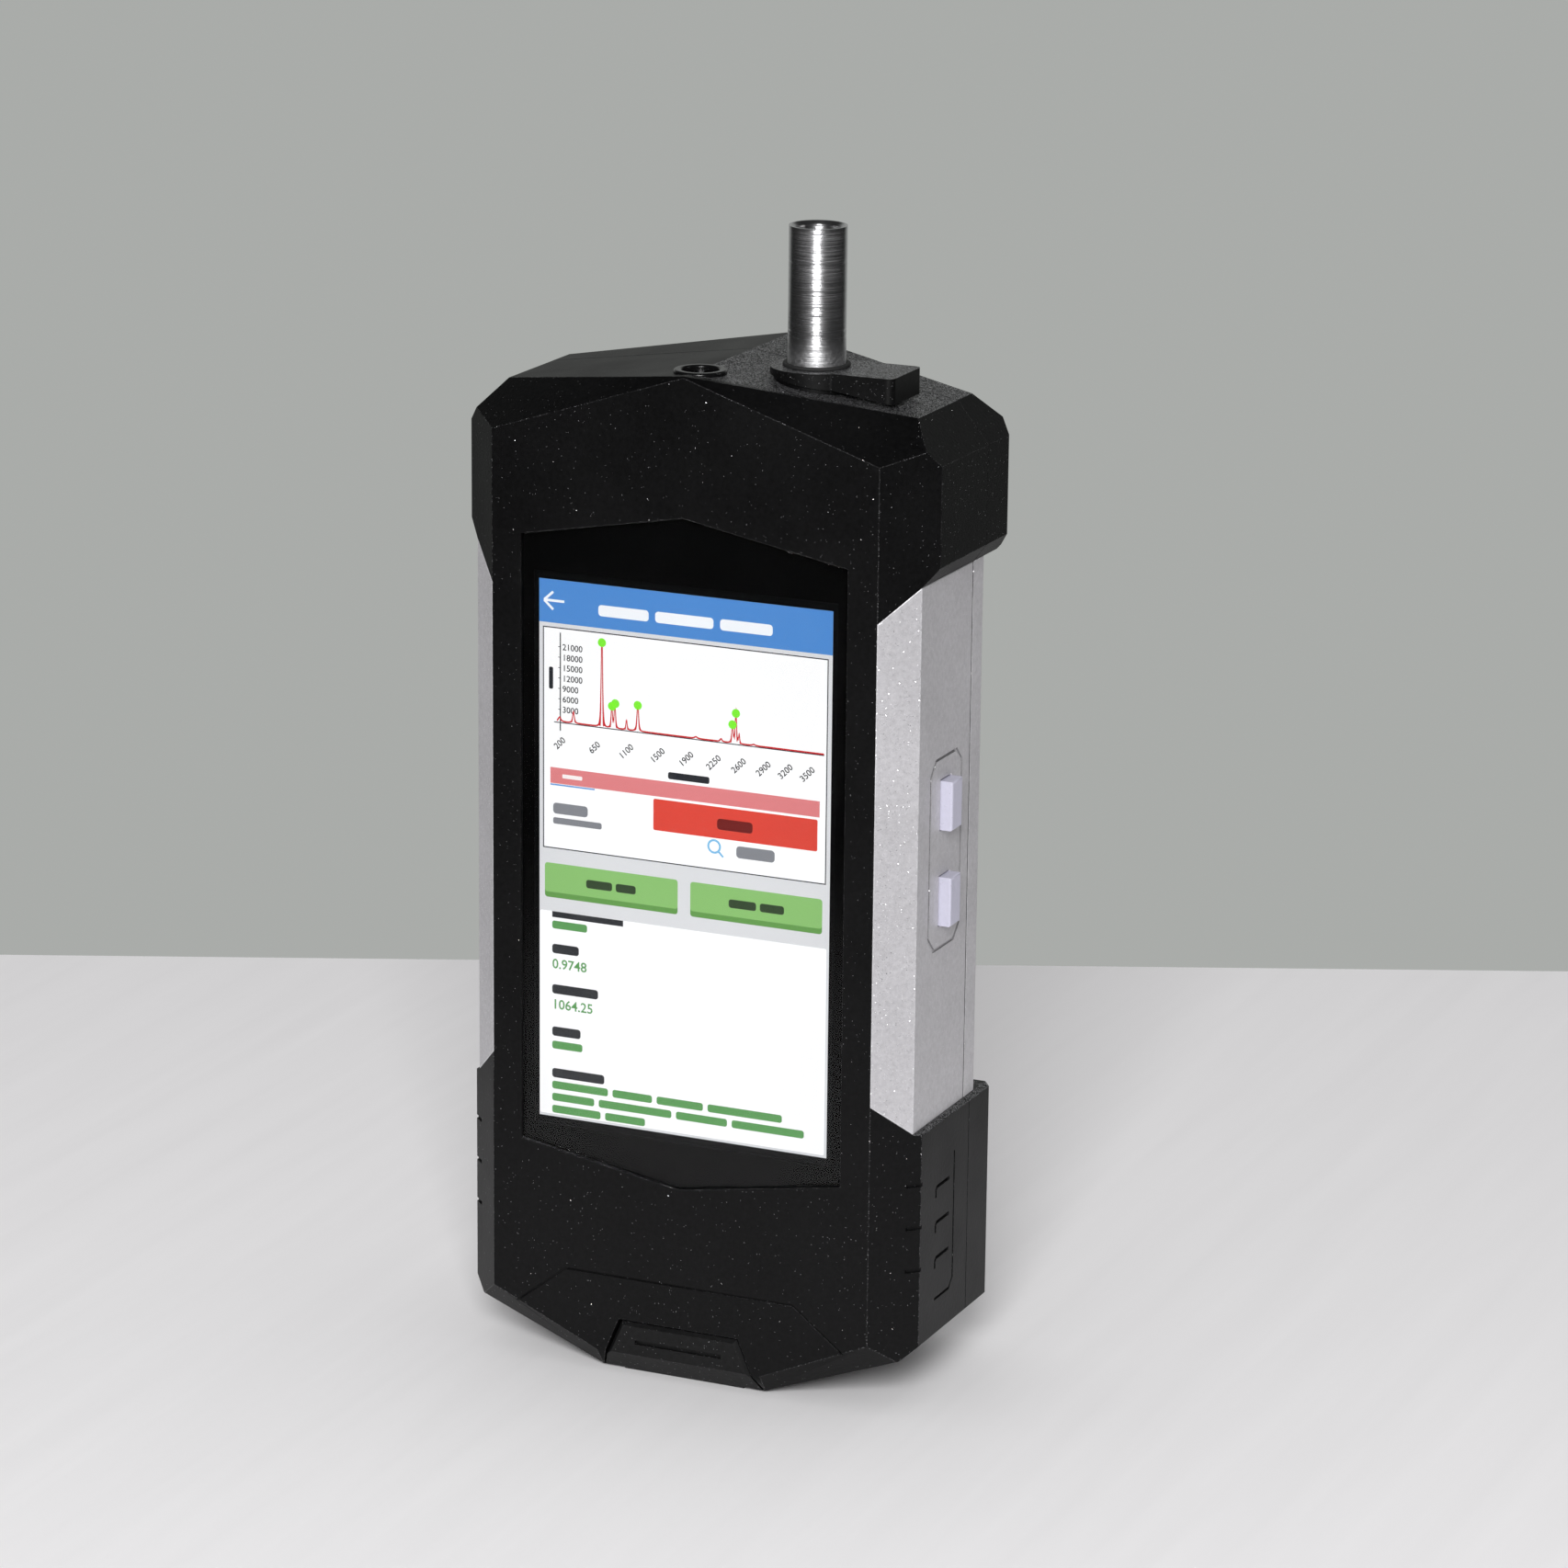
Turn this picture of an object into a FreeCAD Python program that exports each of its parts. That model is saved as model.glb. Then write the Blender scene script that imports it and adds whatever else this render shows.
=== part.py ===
"""A handheld Raman spectrometer with a point-and-shoot adapter, in millimetres.

It stands on its base with +Z up and its screen facing -Y. The origin is under the middle of the body,
on the plane that it stands on. Right and left are as seen from the screen side.
"""
import FreeCAD, Part
import os
import re

import Sketcher

V = FreeCAD.Vector
doc = FreeCAD.newDocument("handheld_raman_spectrometer")
sheet = doc.addObject("Spreadsheet::Sheet", "Sizes")
places = {}
kept = []

# The driving sizes, in millimetres. Each becomes a cell of the sheet under its own name.
SIZES = {
    # The housing as a whole, seen from the front and from the side.
    "body_height": 202.9,  # ridge of the roof above the table
    "depth": 51.3,  # front to back at the head
    "waist_recess": 7.9,  # back of the waist ahead of the head's back
    "bumper_recess": 1.6,  # back of the bumper ahead of the head's back
    "front_half": 40.6,  # half width of the flat front and back
    "waist_chamfer": 6.4,  # chamfer between the front and the grips, across each face
    "head_proud": 2.6,  # head beyond the waist at each side
    "bumper_proud": 1.3,  # bumper beyond the waist at each side
    "roof_pitch": 0.144,  # fall of the roof from the ridge, for each millimetre outwards
    "shoulder_inset": 6.5,  # where the roof turns down, inside the head's sides
    "shoulder_pitch": 1.246,  # fall of the shoulder for each millimetre outwards
    "head_height": 37.4,  # ridge above the lower edge of the head
    "head_flare": 3.5,  # height of the sloping underside of the head
    "bumper_top": 57.0,  # height at which the bumper starts
    "bumper_ledge": 0.5,  # height of the bumper's sloping top edge
    "hip_height": 13.1,  # height at which the bumper's sides turn in
    "hip_inset": 2.8,  # lower edge of that bevel, inside the bumper's sides
    "hip_drop": 2.5,  # height of that bevel
    "base_half": 17.8,  # half width of the flat base
    "pad_thickness": 0.5,  # rubber foot pad under the base
    "brow_drop": 0.3,  # peak of the front's top edge below the ridge
    "brow_slope": 0.33,  # fall of the front's top edge for each millimetre outwards
    "brow_pitch": 0.67,  # climb of the brow facets for each millimetre of depth
    "chin_height": 4.0,  # front's bottom edge above the base
    "chin_slope": 0.4386,  # climb of that edge for each millimetre outwards
    "chin_pitch": 1.333,  # fall of the chin bevel for each millimetre of depth
    "seam_depth": 31.7,  # seam between the shells behind the front
    "wall": 2.4,  # shell wall
    "front_wall": 4.2,  # front wall, which holds the glass
    "rear_wall": 4.4,  # wall of the waist's back, which holds the battery door
    "grip_thickness": 1.8,  # inlaid side grips
    "grip_rake": 6.5,  # slope of a grip's ends over the chamfer
    "cavity_floor": 14.0,  # inside floor of the housing
    "roof_thickness": 14.9,  # ridge above the flat inside ceiling
    "tool_reach": 30.0,  # how far a cutting outline runs clear of the housing
    "overlap": 0.1,  # how far one hollow runs into the next
    # Side buttons.
    "button_width": 5.0,  # button across the side
    "button_tall": 9.8,  # button up the side
    "button_proud": 2.45,  # button above the grip
    "button_depth_centre": 19.9,  # middle of the buttons behind the front
    "button_pitch": 19.2,  # between the buttons' middles
    "button_drop": 0.55,  # middle of the pair below the middle of the waist
    "button_gap": 0.15,  # clearance of a button in its slot
    "button_rounding": 0.45,  # rounded edges of a button
    "button_travel": 0.8,  # stroke of a button
    "flange_margin": 1.0,  # flange beyond the button on each side
    "flange_thickness": 1.4,  # flange inside the wall
    "flange_gap": 0.1,  # flange from the wall at rest
    "nib_radius": 1.3,  # nib that reaches into the switch
    "nib_length": 0.9,  # nib beyond the flange
    "frame_width": 16.0,  # octagonal line round the buttons, across
    "frame_tall": 38.7,  # octagonal line round the buttons, up
    "frame_corner": 2.8,  # clipped corners of that line
    "line_width": 0.6,  # width of the fine lines in the grip
    "line_depth": 0.4,  # depth of the fine lines
    # Fine marks on the bumper.
    "mark_depth": 0.5,  # channels, hooks and notches
    "channel_width": 0.6,  # long channel on each side
    "channel_corner": 2.0,  # its clipped corner
    "channel_drop": 8.5,  # its upper end below the bumper's top
    "channel_foot": 20.1,  # its lower run above the table
    "channel_rear": 24.8,  # its upright run behind the front
    "channel_front": 15.4,  # its front end behind the front
    "hook_width": 0.75,  # three hooks on each side
    "hook_corner": 0.8,  # their clipped corners
    "hook_drop": 13.0,  # upper hook below the bumper's top
    "hook_pitch": 7.35,  # hooks apart
    "hook_tall": 2.5,  # their short arms
    "hook_front": 15.0,  # their front ends behind the front
    "hook_rear": 22.2,  # their rear ends behind the front
    "notch_width": 0.8,  # three notches in each front chamfer
    "notch_reach": 2.2,  # their length from the bumper's side
    "notch_drop": 10.9,  # upper notch below the bumper's top
    "notch_pitch": 8.75,  # notches apart
    "apron_width": 0.5,  # line on the front, round the port cover
    "apron_depth": 0.4,  # that line
    "apron_top": 20.7,  # its upper run above the table
    "apron_top_half": 24.7,  # half width of that run
    "apron_foot": 11.5,  # its lower ends above the table
    "apron_foot_half": 36.5,  # half width at those ends
    # Cover glass.
    "glass_inset": 6.35,  # glass inside the flat front at each side
    "glass_border_top": 7.1,  # upper corners of the glass above the display
    "glass_border_foot": 3.4,  # lower corners of the glass below the display
    "glass_peak": 6.3,  # point of the top edge above its corners
    "glass_point": 5.7,  # point of the bottom edge below its corners
    "glass_thickness": 1.1,  # cover glass
    "glass_sink": 0.2,  # glass below the front
    "glass_gap": 0.15,  # clearance round the glass
    "adhesive_thickness": 0.2,  # adhesive frame behind the glass
    "glass_border_side": 2.25,  # glass beyond the display at each side
    "display_dip": 7.1,  # lower edge of the display below the top of the bumper
    "display_headroom": 3.6,  # upper edge of the display below the head
    "display_gap": 0.1,  # clearance round the panel
    # Display bracket.
    "bracket_thickness": 0.8,  # sheet behind the display
    "bracket_gap": 0.36,  # sheet from the shell at each side
    "bracket_margin": 4.5,  # sheet beyond its outer posts, up and down
    "post_inset": 7.5,  # posts for the main board and the bench, inside the shell's wall
    "post_radius": 2.4,  # those posts
    "post_gap": 0.2,  # bracket from a post
    "pilot_radius": 1.1,  # screw holes in the posts
    "board_post_rise": 2.1,  # lower posts of the main board above the display's edge
    "board_post_drop": 10.0,  # upper posts of the main board below the bench
    "bench_post_rise": 4.0,  # lower posts of the bench above its underside
    "bench_post_pitch": 26.0,  # between the bench's lower and upper posts
    # Main board with the processor's shield.
    "board_thickness": 1.6,  # circuit boards
    "board_edge": 2.3,  # board beyond its posts at each side
    "board_margin": 4.5,  # board beyond its posts
    "board_back": 8.6,  # front face of the main board behind the housing's front
    "shield_half": 15.0,  # half width of the shield
    "shield_rise_z": 32.0,  # lower edge of the shield above the lower posts
    "shield_tall": 30.0,  # height of the shield
    "shield_rise": 3.0,  # shield above the board
    "shield_wall": 0.4,  # sheet of the shield
    "sounder_x": 20.0,  # sounder to the right of the middle
    "sounder_rise_z": 10.0,  # sounder above the lower posts
    "sounder_radius": 5.5,  # sounder
    "sounder_rise": 2.4,  # sounder above the board
    "sounder_port": 1.0,  # radius of its sound hole
    "screw_head_radius": 2.1,  # heads of the small screws
    "screw_head_height": 1.4,  # those heads
    "screw_bite": 3.2,  # small screws in their posts
    # Button board on two standoffs from the side wall.
    "switch_height": 3.4,  # switch body above its board
    "switch_side": 6.0,  # switch body
    "switch_well": 1.5,  # well that the nib reaches into, radius
    "switch_well_depth": 1.2,  # depth of that well
    "switch_gap": 0.1,  # flange from the switch at full stroke
    "button_board_half": 7.6,  # half width of the button board
    "button_board_tall": 41.0,  # height of the button board
    "standoff_radius": 1.8,  # standoffs of the button board
    "standoff_inset": 2.6,  # standoffs from the board's edges
    # Probe.
    "probe_x": 19.2,  # probe axis to the right of the middle
    "probe_depth": 18.9,  # probe axis behind the front
    "barrel_radius": 6.4,  # outside of the probe barrel
    "barrel_reach": 10.0,  # barrel inside the bench
    "barrel_sink": 2.9,  # upper end of the barrel below the ridge
    "barrel_gap": 0.1,  # clearance of the barrel in the roof
    "socket_radius": 5.15,  # socket at the top of the barrel
    "socket_depth": 8.4,  # depth of the socket, down to the window's seat
    "window_thickness": 1.4,  # probe window
    "optic_bore": 4.2,  # bore round the lens
    "lens_seat_rise": 8.0,  # shoulder that carries the lens, above the barrel's lower end
    "lens_lip": 3.6,  # bore below the lens
    "lens_edge": 2.0,  # edge thickness of the lens
    "lens_crown": 1.4,  # height of the lens's curved face
    "optic_play": 0.05,  # window and lens inside their seats
    "collar_radius": 8.2,  # collar on the roof round the barrel
    "collar_height": 1.1,  # collar above the roof
    # Optical bench.
    "bench_inset": 3.8,  # bench inside its posts at each side
    "bench_tall": 50.0,  # height of the bench
    "bench_headroom": 2.0,  # bench below the ceiling
    "bench_front": 8.4,  # front face of the bench behind the housing's front
    "bench_deep": 21.0,  # bench front to back
    "bench_wall": 3.0,  # walls and floor of the bench
    "ear_reach": 2.7,  # ears beyond the screws
    "ear_half": 4.0,  # half height of an ear
    "lid_thickness": 1.5,  # bench cover
    # Optics in the bench.
    "filter_drop": 6.0,  # where the laser meets the probe axis, below the barrel
    "filter_length": 11.0,  # edge filter, set at 45 degrees
    "filter_thickness": 1.1,  # edge filter
    "optic_deep": 13.0,  # optics stand this far off the bench's floor
    "laser_radius": 4.5,  # laser module
    "laser_start": -15.0,  # rear end of the laser module
    "laser_end": 11.0,  # front end of the laser module
    "laser_mouth": 1.5,  # radius of its opening
    "laser_mouth_depth": 3.0,  # depth of its opening
    "clamp_start": 4.0,  # clamp ahead of the laser's rear end
    "clamp_width": 9.0,  # clamp round the laser, along it
    "clamp_half": 7.0,  # half height of the clamp
    "slit_drop": 10.0,  # slit plate below the filter's middle
    "slit_width": 9.0,  # slit plate across
    "slit_thickness": 1.0,  # slit plate
    "slit_opening": 0.5,  # slit
    "slit_length": 4.0,  # slit front to back
    "mirror_width": 13.0,  # mirrors across
    "mirror_height": 6.5,  # mirrors at their edges
    "mirror_hollow": 45.0,  # radius of the mirrors' hollow faces
    "focus_x": -14.0,  # focusing mirror and detector
    "grating_x": 2.0,  # grating
    "grating_rise": 16.0,  # grating above the bench's lower wall
    "grating_width": 12.0,  # grating
    "grating_thickness": 3.5,  # grating
    "detector_rise": 19.0,  # detector board above the bench's lower wall
    "detector_half": 9.0,  # half width of the detector board
    "sensor_half": 5.5,  # half width of the sensor
    "sensor_drop": 2.2,  # sensor below its board
    "sensor_deep": 6.0,  # sensor front to back
    # Heat sink on the bench cover.
    "sink_half": 16.0,  # half width of the heat sink
    "sink_x": -3.0,  # middle of the heat sink
    "sink_rise_z": 14.0,  # lower edge of the heat sink above the bench's underside
    "sink_tall": 33.0,  # height of the heat sink
    "sink_base": 1.8,  # its base
    "sink_gap": 1.1,  # its fins from the back wall
    "fin_count": 7,  # number of its fins
    "fin_thickness": 1.4,  # one fin
    # Adapter.
    "tube_radius": 5.6,  # outside of the adapter tube
    "tube_bore": 4.5,  # bore of the adapter tube
    "tube_length": 27.05,  # tube above the plate
    "plate_rise": 0.6,  # top of the adapter plate above the ridge
    "tube_lead": 0.7,  # bevel inside the tube's mouth
    "spigot_radius": 5.08,  # part of the tube that enters the socket
    "spigot_bore": 4.0,  # light passage through that part
    "spigot_depth": 5.6,  # how far it enters the socket
    "upper_line": 6.8,  # upper scribed line below the tube's end
    "lower_line": 19.9,  # lower scribed line below the tube's end
    "scribe_width": 0.4,  # scribed lines
    "scribe_depth": 0.15,  # scribed lines
    "plate_radius": 8.9,  # round end of the plate
    "tab_end": 37.7,  # end of the tab, right of the middle
    "tab_half": 7.2,  # half width of the tab
    "tab_shift": 0.7,  # middle of the tab behind the probe axis
    "tab_rounding": 1.5,  # corners of the tab
    "ring_radius": 6.5,  # rubber ring at the tube's foot
    "ring_height": 0.7,  # that ring
    "magnet_x": 31.0,  # magnets under the tab, right of the middle
    "magnet_radius": 3.0,  # magnets
    "magnet_thickness": 1.6,  # magnets
    "magnet_cover": 0.5,  # each magnet below its surface
    "pin_x": 33.0,  # locating pin, right of the middle
    "pin_depth": 24.6,  # locating pin behind the front
    "pin_radius": 1.0,  # locating pin
    "pin_height": 2.2,  # pin above the roof
    "pin_root": 3.0,  # pin in the roof
    "pin_gap": 0.1,  # pin in the tab's hole
    # Aiming camera.
    "camera_depth": 7.7,  # camera behind the front
    "bezel_radius": 5.15,  # outside of the bezel
    "bezel_bore": 3.6,  # opening of the bezel
    "bezel_rise": 0.2,  # bezel above the ridge
    "bezel_sink": 4.9,  # bezel below the ridge
    "bezel_lip": 2.9,  # opening under the window
    "camera_window_sink": 1.6,  # underside of the window below the ridge
    "camera_window_thickness": 0.8,  # camera window
    "camera_lens_radius": 2.8,  # lens of the camera module
    "camera_lens_sink": 2.6,  # top of that lens below the ridge
    "camera_bore": 3.5,  # hole in the roof round the lens
    "camera_board_half": 4.0,  # half width of the camera's board
    "camera_board_deep": 7.4,  # camera's board front to back
    "camera_board_lead": 3.3,  # camera's board ahead of the camera's axis
    "camera_board_thickness": 1.2,  # camera's board
    # Port cover.
    "lip_top": 11.1,  # top of the lip above the table
    "lip_top_half": 12.5,  # half width of the lip at its top
    "lip_foot_half": 17.3,  # half width of the lip at the base
    "lip_thickness": 3.0,  # lip front to back
    "lip_bevel": 0.7,  # bevel round the lip's face
    "cover_lift": 0.1,  # cover above the table
    "cover_gap": 0.45,  # gap round the cover
    "cover_back_gap": 0.3,  # cover from the floor of its recess
    "tongue_half": 13.0,  # half width of the tongue
    "tongue_thickness": 2.7,  # tongue
    "hinge_depth": 18.9,  # hinge behind the front
    "hinge_pin_radius": 0.6,  # hinge pin
    "hinge_pin_gap": 0.08,  # running gap of the hinge
    "hinge_pin_reach": 2.0,  # pin in the shell at each end
    "nail_slot_half": 9.4,  # half width of the nail slot
    "nail_slot_z": 7.2,  # nail slot above the table
    "nail_slot_width": 0.9,  # nail slot
    "nail_slot_depth": 0.7,  # nail slot
    "port_floor_thickness": 2.5,  # shell above the cover
    "port_bay_half": 20.0,  # half width of the bay above the ports
    "port_bay_front": 6.0,  # front of that bay behind the front
    "seam_rib": 3.7,  # shell left whole beside the seam
    # Ports on their board.
    "port_board_z": 12.4,  # underside of the port board
    "port_board_half": 18.5,  # half width of the port board
    "port_board_front": 7.6,  # port board behind the front
    "port_board_deep": 19.5,  # port board front to back
    "port_post_x": 15.6,  # posts of the port board
    "port_post_radius": 2.0,  # posts of the port board
    "port_post_inset": 0.5,  # those posts inside the board's edges
    "port_depth": 11.4,  # middle of the ports behind the front
    "usb_x": -5.8,  # middle of the data port
    "usb_half": 4.6,  # half length of the data port
    "usb_thickness": 3.4,  # data port
    "usb_wall": 0.4,  # shell of the data port
    "usb_tongue_half": 3.2,  # half length of the tongue inside it
    "usb_tongue_sink": 0.6,  # that tongue above the port's mouth
    "jack_x": 6.2,  # middle of the charging jack
    "jack_radius": 3.2,  # charging jack
    "jack_bore": 2.2,  # bore of the charging jack
    "jack_blind": 2.0,  # closed end of the charging jack
    "port_gap": 0.1,  # clearance round the ports
    # Battery.
    "bay_rise": 8.4,  # lower end of the battery bay above the top of the bumper
    "tray_headroom": 1.2,  # battery tray below the bench
    "bay_half": 19.4,  # half width of the battery bay
    "bay_deep": 19.2,  # depth of the bay inside the back wall
    "tray_wall": 1.2,  # walls of the battery tray
    "pack_gap": 0.3,  # clearance round the battery pack
    "pack_roundness": 0.42,  # rounded corners of the pack, as a share of the bay's depth
    "contact_height": 1.8,  # battery contacts between tray and pack
    "contact_width": 3.0,  # one contact
    "contact_pitch": 7.0,  # contacts apart
    "contact_deep": 12.8,  # contacts front to back
    "door_thickness": 2.2,  # battery door
    "door_margin_x": 5.8,  # door beyond the bay at the sides
    "door_margin_z": 6.4,  # door beyond the bay above and below
    "door_corner": 3.5,  # clipped corners of the door
    "door_gap": 0.1,  # clearance round the door
    "door_screw_inset_x": 3.1,  # door screws beyond the bay at the sides
    "door_screw_inset_z": 2.2,  # door screws beyond the bay above and below
    "door_head_sink": 1.4,  # door screws' seats below the door's face
    "door_head_clear": 0.1,  # those screws' heads below the door's face
    "door_shank": 1.0,  # door screws
    "door_screw_bite": 1.8,  # door screws in the back wall
    # Shells.
    "boss_inset": 7.3,  # bosses of the shell screws, inside the shell's wall
    "boss_rise": 8.5,  # lower bosses above the cavity's floor
    "boss_drop": 9.5,  # upper bosses below the ceiling
    "boss_radius": 3.4,  # bosses
    "shell_hole": 1.7,  # shell screws' clearance holes in the rear shell
    "shell_shank": 1.5,  # shell screws
    "shell_bite": 12.0,  # shell screws in the front bosses
    "shell_head_radius": 2.8,  # shell screws' heads
    "shell_head_height": 2.4,  # shell screws' heads
    "shell_head_sink": 3.2,  # shell screws' seats below the back
    "groove_start": 0.6,  # seam groove outside the cavity
    "groove_width": 1.2,  # seam groove
    "groove_depth": 2.0,  # seam groove
    "tongue_play": 0.1,  # clearance of the tongue at each side
    "seal_thickness": 0.7,  # seal at the bottom of the groove
    "roof_bay_half": 33.0,  # half width of the hollow under the roof
    "roof_bay_front": 14.0,  # front of that hollow behind the front
    "roof_bay_rear": 3.6,  # rear shell's roof hollow behind the seam
    # Foot pad.
    "foot_front": 4.4,  # front of the foot pad behind the housing's front
    "foot_rear": 3.4,  # rear of the foot pad ahead of the bumper's back
    "foot_gap": 0.6,  # foot pad from the port cover
}

for row, (name, millimetres) in enumerate(SIZES.items(), 1):
    sheet.set(f"A{row}", name)
    sheet.set(f"B{row}", str(millimetres))
    sheet.setAlias(f"B{row}", name)
doc.recompute()


def place(name, expression):
    """A place that follows from the sizes, to be used by its name in later expressions."""
    places[name] = expression


def bound(expression):
    """The expression with the names of places and sizes turned into references to the sheet."""
    def reference(match):
        word = match.group()
        if word in places:
            return "(" + bound(places[word]) + ")"
        return "Sizes." + word if word in SIZES else word
    return re.sub(r"[a-z_][a-z_0-9]*", reference, expression)


def value(expression):
    """The present value of an expression, as a number."""
    result = sheet.evalExpression(bound(expression))
    return float(getattr(result, "Value", result))


def keep(item):
    """Counts an object as a sub-part of the finished instrument."""
    kept.append(item)
    return item


def new_body(label):
    """An empty body, which may hold several separate solids of one kind."""
    item = doc.addObject("PartDesign::Body", label)
    item.Label = label
    item.AllowCompound = True
    return item


def circle(across, up, radius):
    """A round loop for a sketch."""
    return ("circle", across, up, radius)


def box(left, right, low, high):
    """A rectangular loop for a sketch."""
    return [(left, low), (right, low), (right, high), (left, high)]


def clipped(left, right, low, high, corner):
    """A rectangle with its four corners cut at 45 degrees."""
    return [(f"{left} + {corner}", low), (f"{right} - {corner}", low), (right, f"{low} + {corner}"),
            (right, f"{high} - {corner}"), (f"{right} - {corner}", high), (f"{left} + {corner}", high),
            (left, f"{high} - {corner}"), (left, f"{low} + {corner}")]


def mirrored(right_side):
    """A closed loop from its right-hand points, read from the top down."""
    left_side = [(f"-({across})", up) for across, up in reversed(right_side) if across != "0"]
    return right_side + left_side


def both_sides(right_loop):
    """The loop and its mirror image across the middle plane."""
    return [right_loop, [(f"-({across})", up) for across, up in reversed(right_loop)]]


def loop_ties(first, loop):
    """The constraints of one loop, each with the expression that it is bound to, if any."""
    if loop[0] == "circle":
        return [(Sketcher.Constraint("DistanceX", -1, 1, first, 3, 1.0), loop[1]),
                (Sketcher.Constraint("DistanceY", -1, 1, first, 3, 1.0), loop[2]),
                (Sketcher.Constraint("Radius", first, 1.0), loop[3])]
    ties = []
    for index, (across, up) in enumerate(loop):
        following = first + (index + 1) % len(loop)
        ties.append((Sketcher.Constraint("Coincident", first + index, 2, following, 1), None))
        ties.append((Sketcher.Constraint("DistanceX", -1, 1, first + index, 1, 1.0), across))
        ties.append((Sketcher.Constraint("DistanceY", -1, 1, first + index, 1, 1.0), up))
    return ties


def loop_edges(loop):
    """The edges of one loop, roughly in place; the constraints then move them."""
    if loop[0] == "circle":
        return [Part.Circle(V(value(loop[1]), value(loop[2]), 0), V(0, 0, 1), value(loop[3]))]
    points = [V(value(across), value(up), 0) for across, up in loop]
    return [Part.LineSegment(start, end) for start, end in zip(points, points[1:] + points[:1])]


def draw(item, plane, level, loops, shift="0"):
    """A sketch on one of the body's own planes, moved to a level along +X, +Y or +Z."""
    sketch = item.newObject("Sketcher::SketchObject", item.Name + "_sketch")
    planes = [feature for feature in item.Origin.OriginFeatures if feature.Role == plane + "_Plane"]
    sketch.AttachmentSupport = [(planes[0], "")]
    sketch.MapMode = "FlatFace"
    sketch.setExpression("AttachmentOffset.Base.x", bound(shift))
    sketch.setExpression("AttachmentOffset.Base.z", bound(f"-({level})" if plane == "XZ" else level))
    ties = []
    for loop in loops:
        ties += loop_ties(sketch.GeometryCount, loop)
        sketch.addGeometry(loop_edges(loop))
    sketch.addConstraint([constraint for constraint, expression in ties])
    for index, (constraint, expression) in enumerate(ties):
        if expression is not None:
            sketch.setExpression(f"Constraints[{index}]", bound(expression))
    return sketch


def pad(item, plane, level, length, *loops):
    """Material from the level on, along +X, +Y or +Z."""
    feature = item.newObject("PartDesign::Pad", item.Name + "_pad")
    feature.Profile = draw(item, plane, level, loops)
    feature.Reversed = plane == "XZ"
    feature.setExpression("Length", bound(length))
    return feature


def pocket(item, plane, level, length, *loops):
    """A cut from the level on, along +X, +Y or +Z."""
    feature = item.newObject("PartDesign::Pocket", item.Name + "_pocket")
    feature.Profile = draw(item, plane, level, loops)
    feature.Reversed = plane != "XZ"
    feature.setExpression("Length", bound(length))
    return feature


def slanting_pocket(item, level, length, along, rise, loop):
    """A cut along Y whose loop climbs by rise for each millimetre of depth; along is 1 or -1."""
    feature = item.newObject("PartDesign::Pocket", item.Name + "_slanting_pocket")
    feature.Profile = draw(item, "XZ", level, [loop])
    feature.setExpression("Length", bound(length))
    feature.UseCustomVector = True
    feature.Direction = V(0, along, value(rise))
    feature.setExpression("Direction.z", bound(rise))
    feature.AlongSketchNormal = True
    return feature


def turn(item, across, depth, *loops):
    """A turned solid about an upright axis; its loops hold radius and height."""
    feature = item.newObject("PartDesign::Revolution", item.Name + "_revolution")
    sketch = draw(item, "XZ", depth, loops, shift=across)
    feature.Profile = sketch
    feature.ReferenceAxis = (sketch, ["V_Axis"])
    feature.Angle = 360.0
    return feature


def edges_where(item, rule):
    """The names of the body's edges that a rule picks, for a fillet or a chamfer."""
    doc.recompute()
    shape = item.Shape
    return [f"Edge{number}" for number, edge in enumerate(shape.Edges, 1) if rule(edge)]


def soften(item, kind, size, rule):
    """Rounds the picked edges, or bevels them; kind is Fillet or Chamfer."""
    names = edges_where(item, rule)
    base = item.Tip
    feature = item.newObject("PartDesign::" + kind, f"{item.Name}_{kind.lower()}")
    feature.Base = (base, names)
    feature.setExpression("Radius" if kind == "Fillet" else "Size", bound(size))
    return feature


def upright(edge):
    """True for an edge that runs along Z."""
    ends = [vertex.Point for vertex in edge.Vertexes]
    return len(ends) == 2 and abs(ends[0].z - ends[1].z) > 0.99 * (ends[0] - ends[1]).Length


def without(label, base, *tools):
    """The base less the tools."""
    gathered = tools[0]
    if len(tools) > 1:
        gathered = doc.addObject("Part::MultiFuse", label + "_cutters")
        gathered.Shapes = list(tools)
    item = doc.addObject("Part::Cut", label)
    item.Label = label
    item.Base = base
    item.Tool = gathered
    return item


# The whole housing: its outline from the front, and its depth at the head, the waist and the bumper.

place("front", "-depth/2")
place("seam", "front + seam_depth")
place("waist_back", "-front - waist_recess")
place("bumper_back", "-front - bumper_recess")
place("back_inside", "waist_back - rear_wall")
place("waist_half", "front_half + waist_chamfer")
place("head_half", "waist_half + head_proud")
place("bumper_half", "waist_half + bumper_proud")
place("shoulder_half", "head_half - shoulder_inset")
place("hip_half", "bumper_half - hip_inset")
place("head_base", "body_height - head_height")
place("grip_top", "head_base - grip_rake")
place("grip_bottom", "bumper_top + grip_rake")
place("skin", "grip_thickness + wall")
place("far", "head_half + tool_reach")
place("shoulder_z", "body_height - roof_pitch*shoulder_half")
place("shoulder_end_z", "shoulder_z - shoulder_pitch*(head_half - shoulder_half)")
place("cavity_half", "waist_half - skin")
place("ceiling", "body_height - roof_thickness")
place("brow_z", "body_height - brow_drop")
place("chin_z", "pad_thickness + chin_height")

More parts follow.
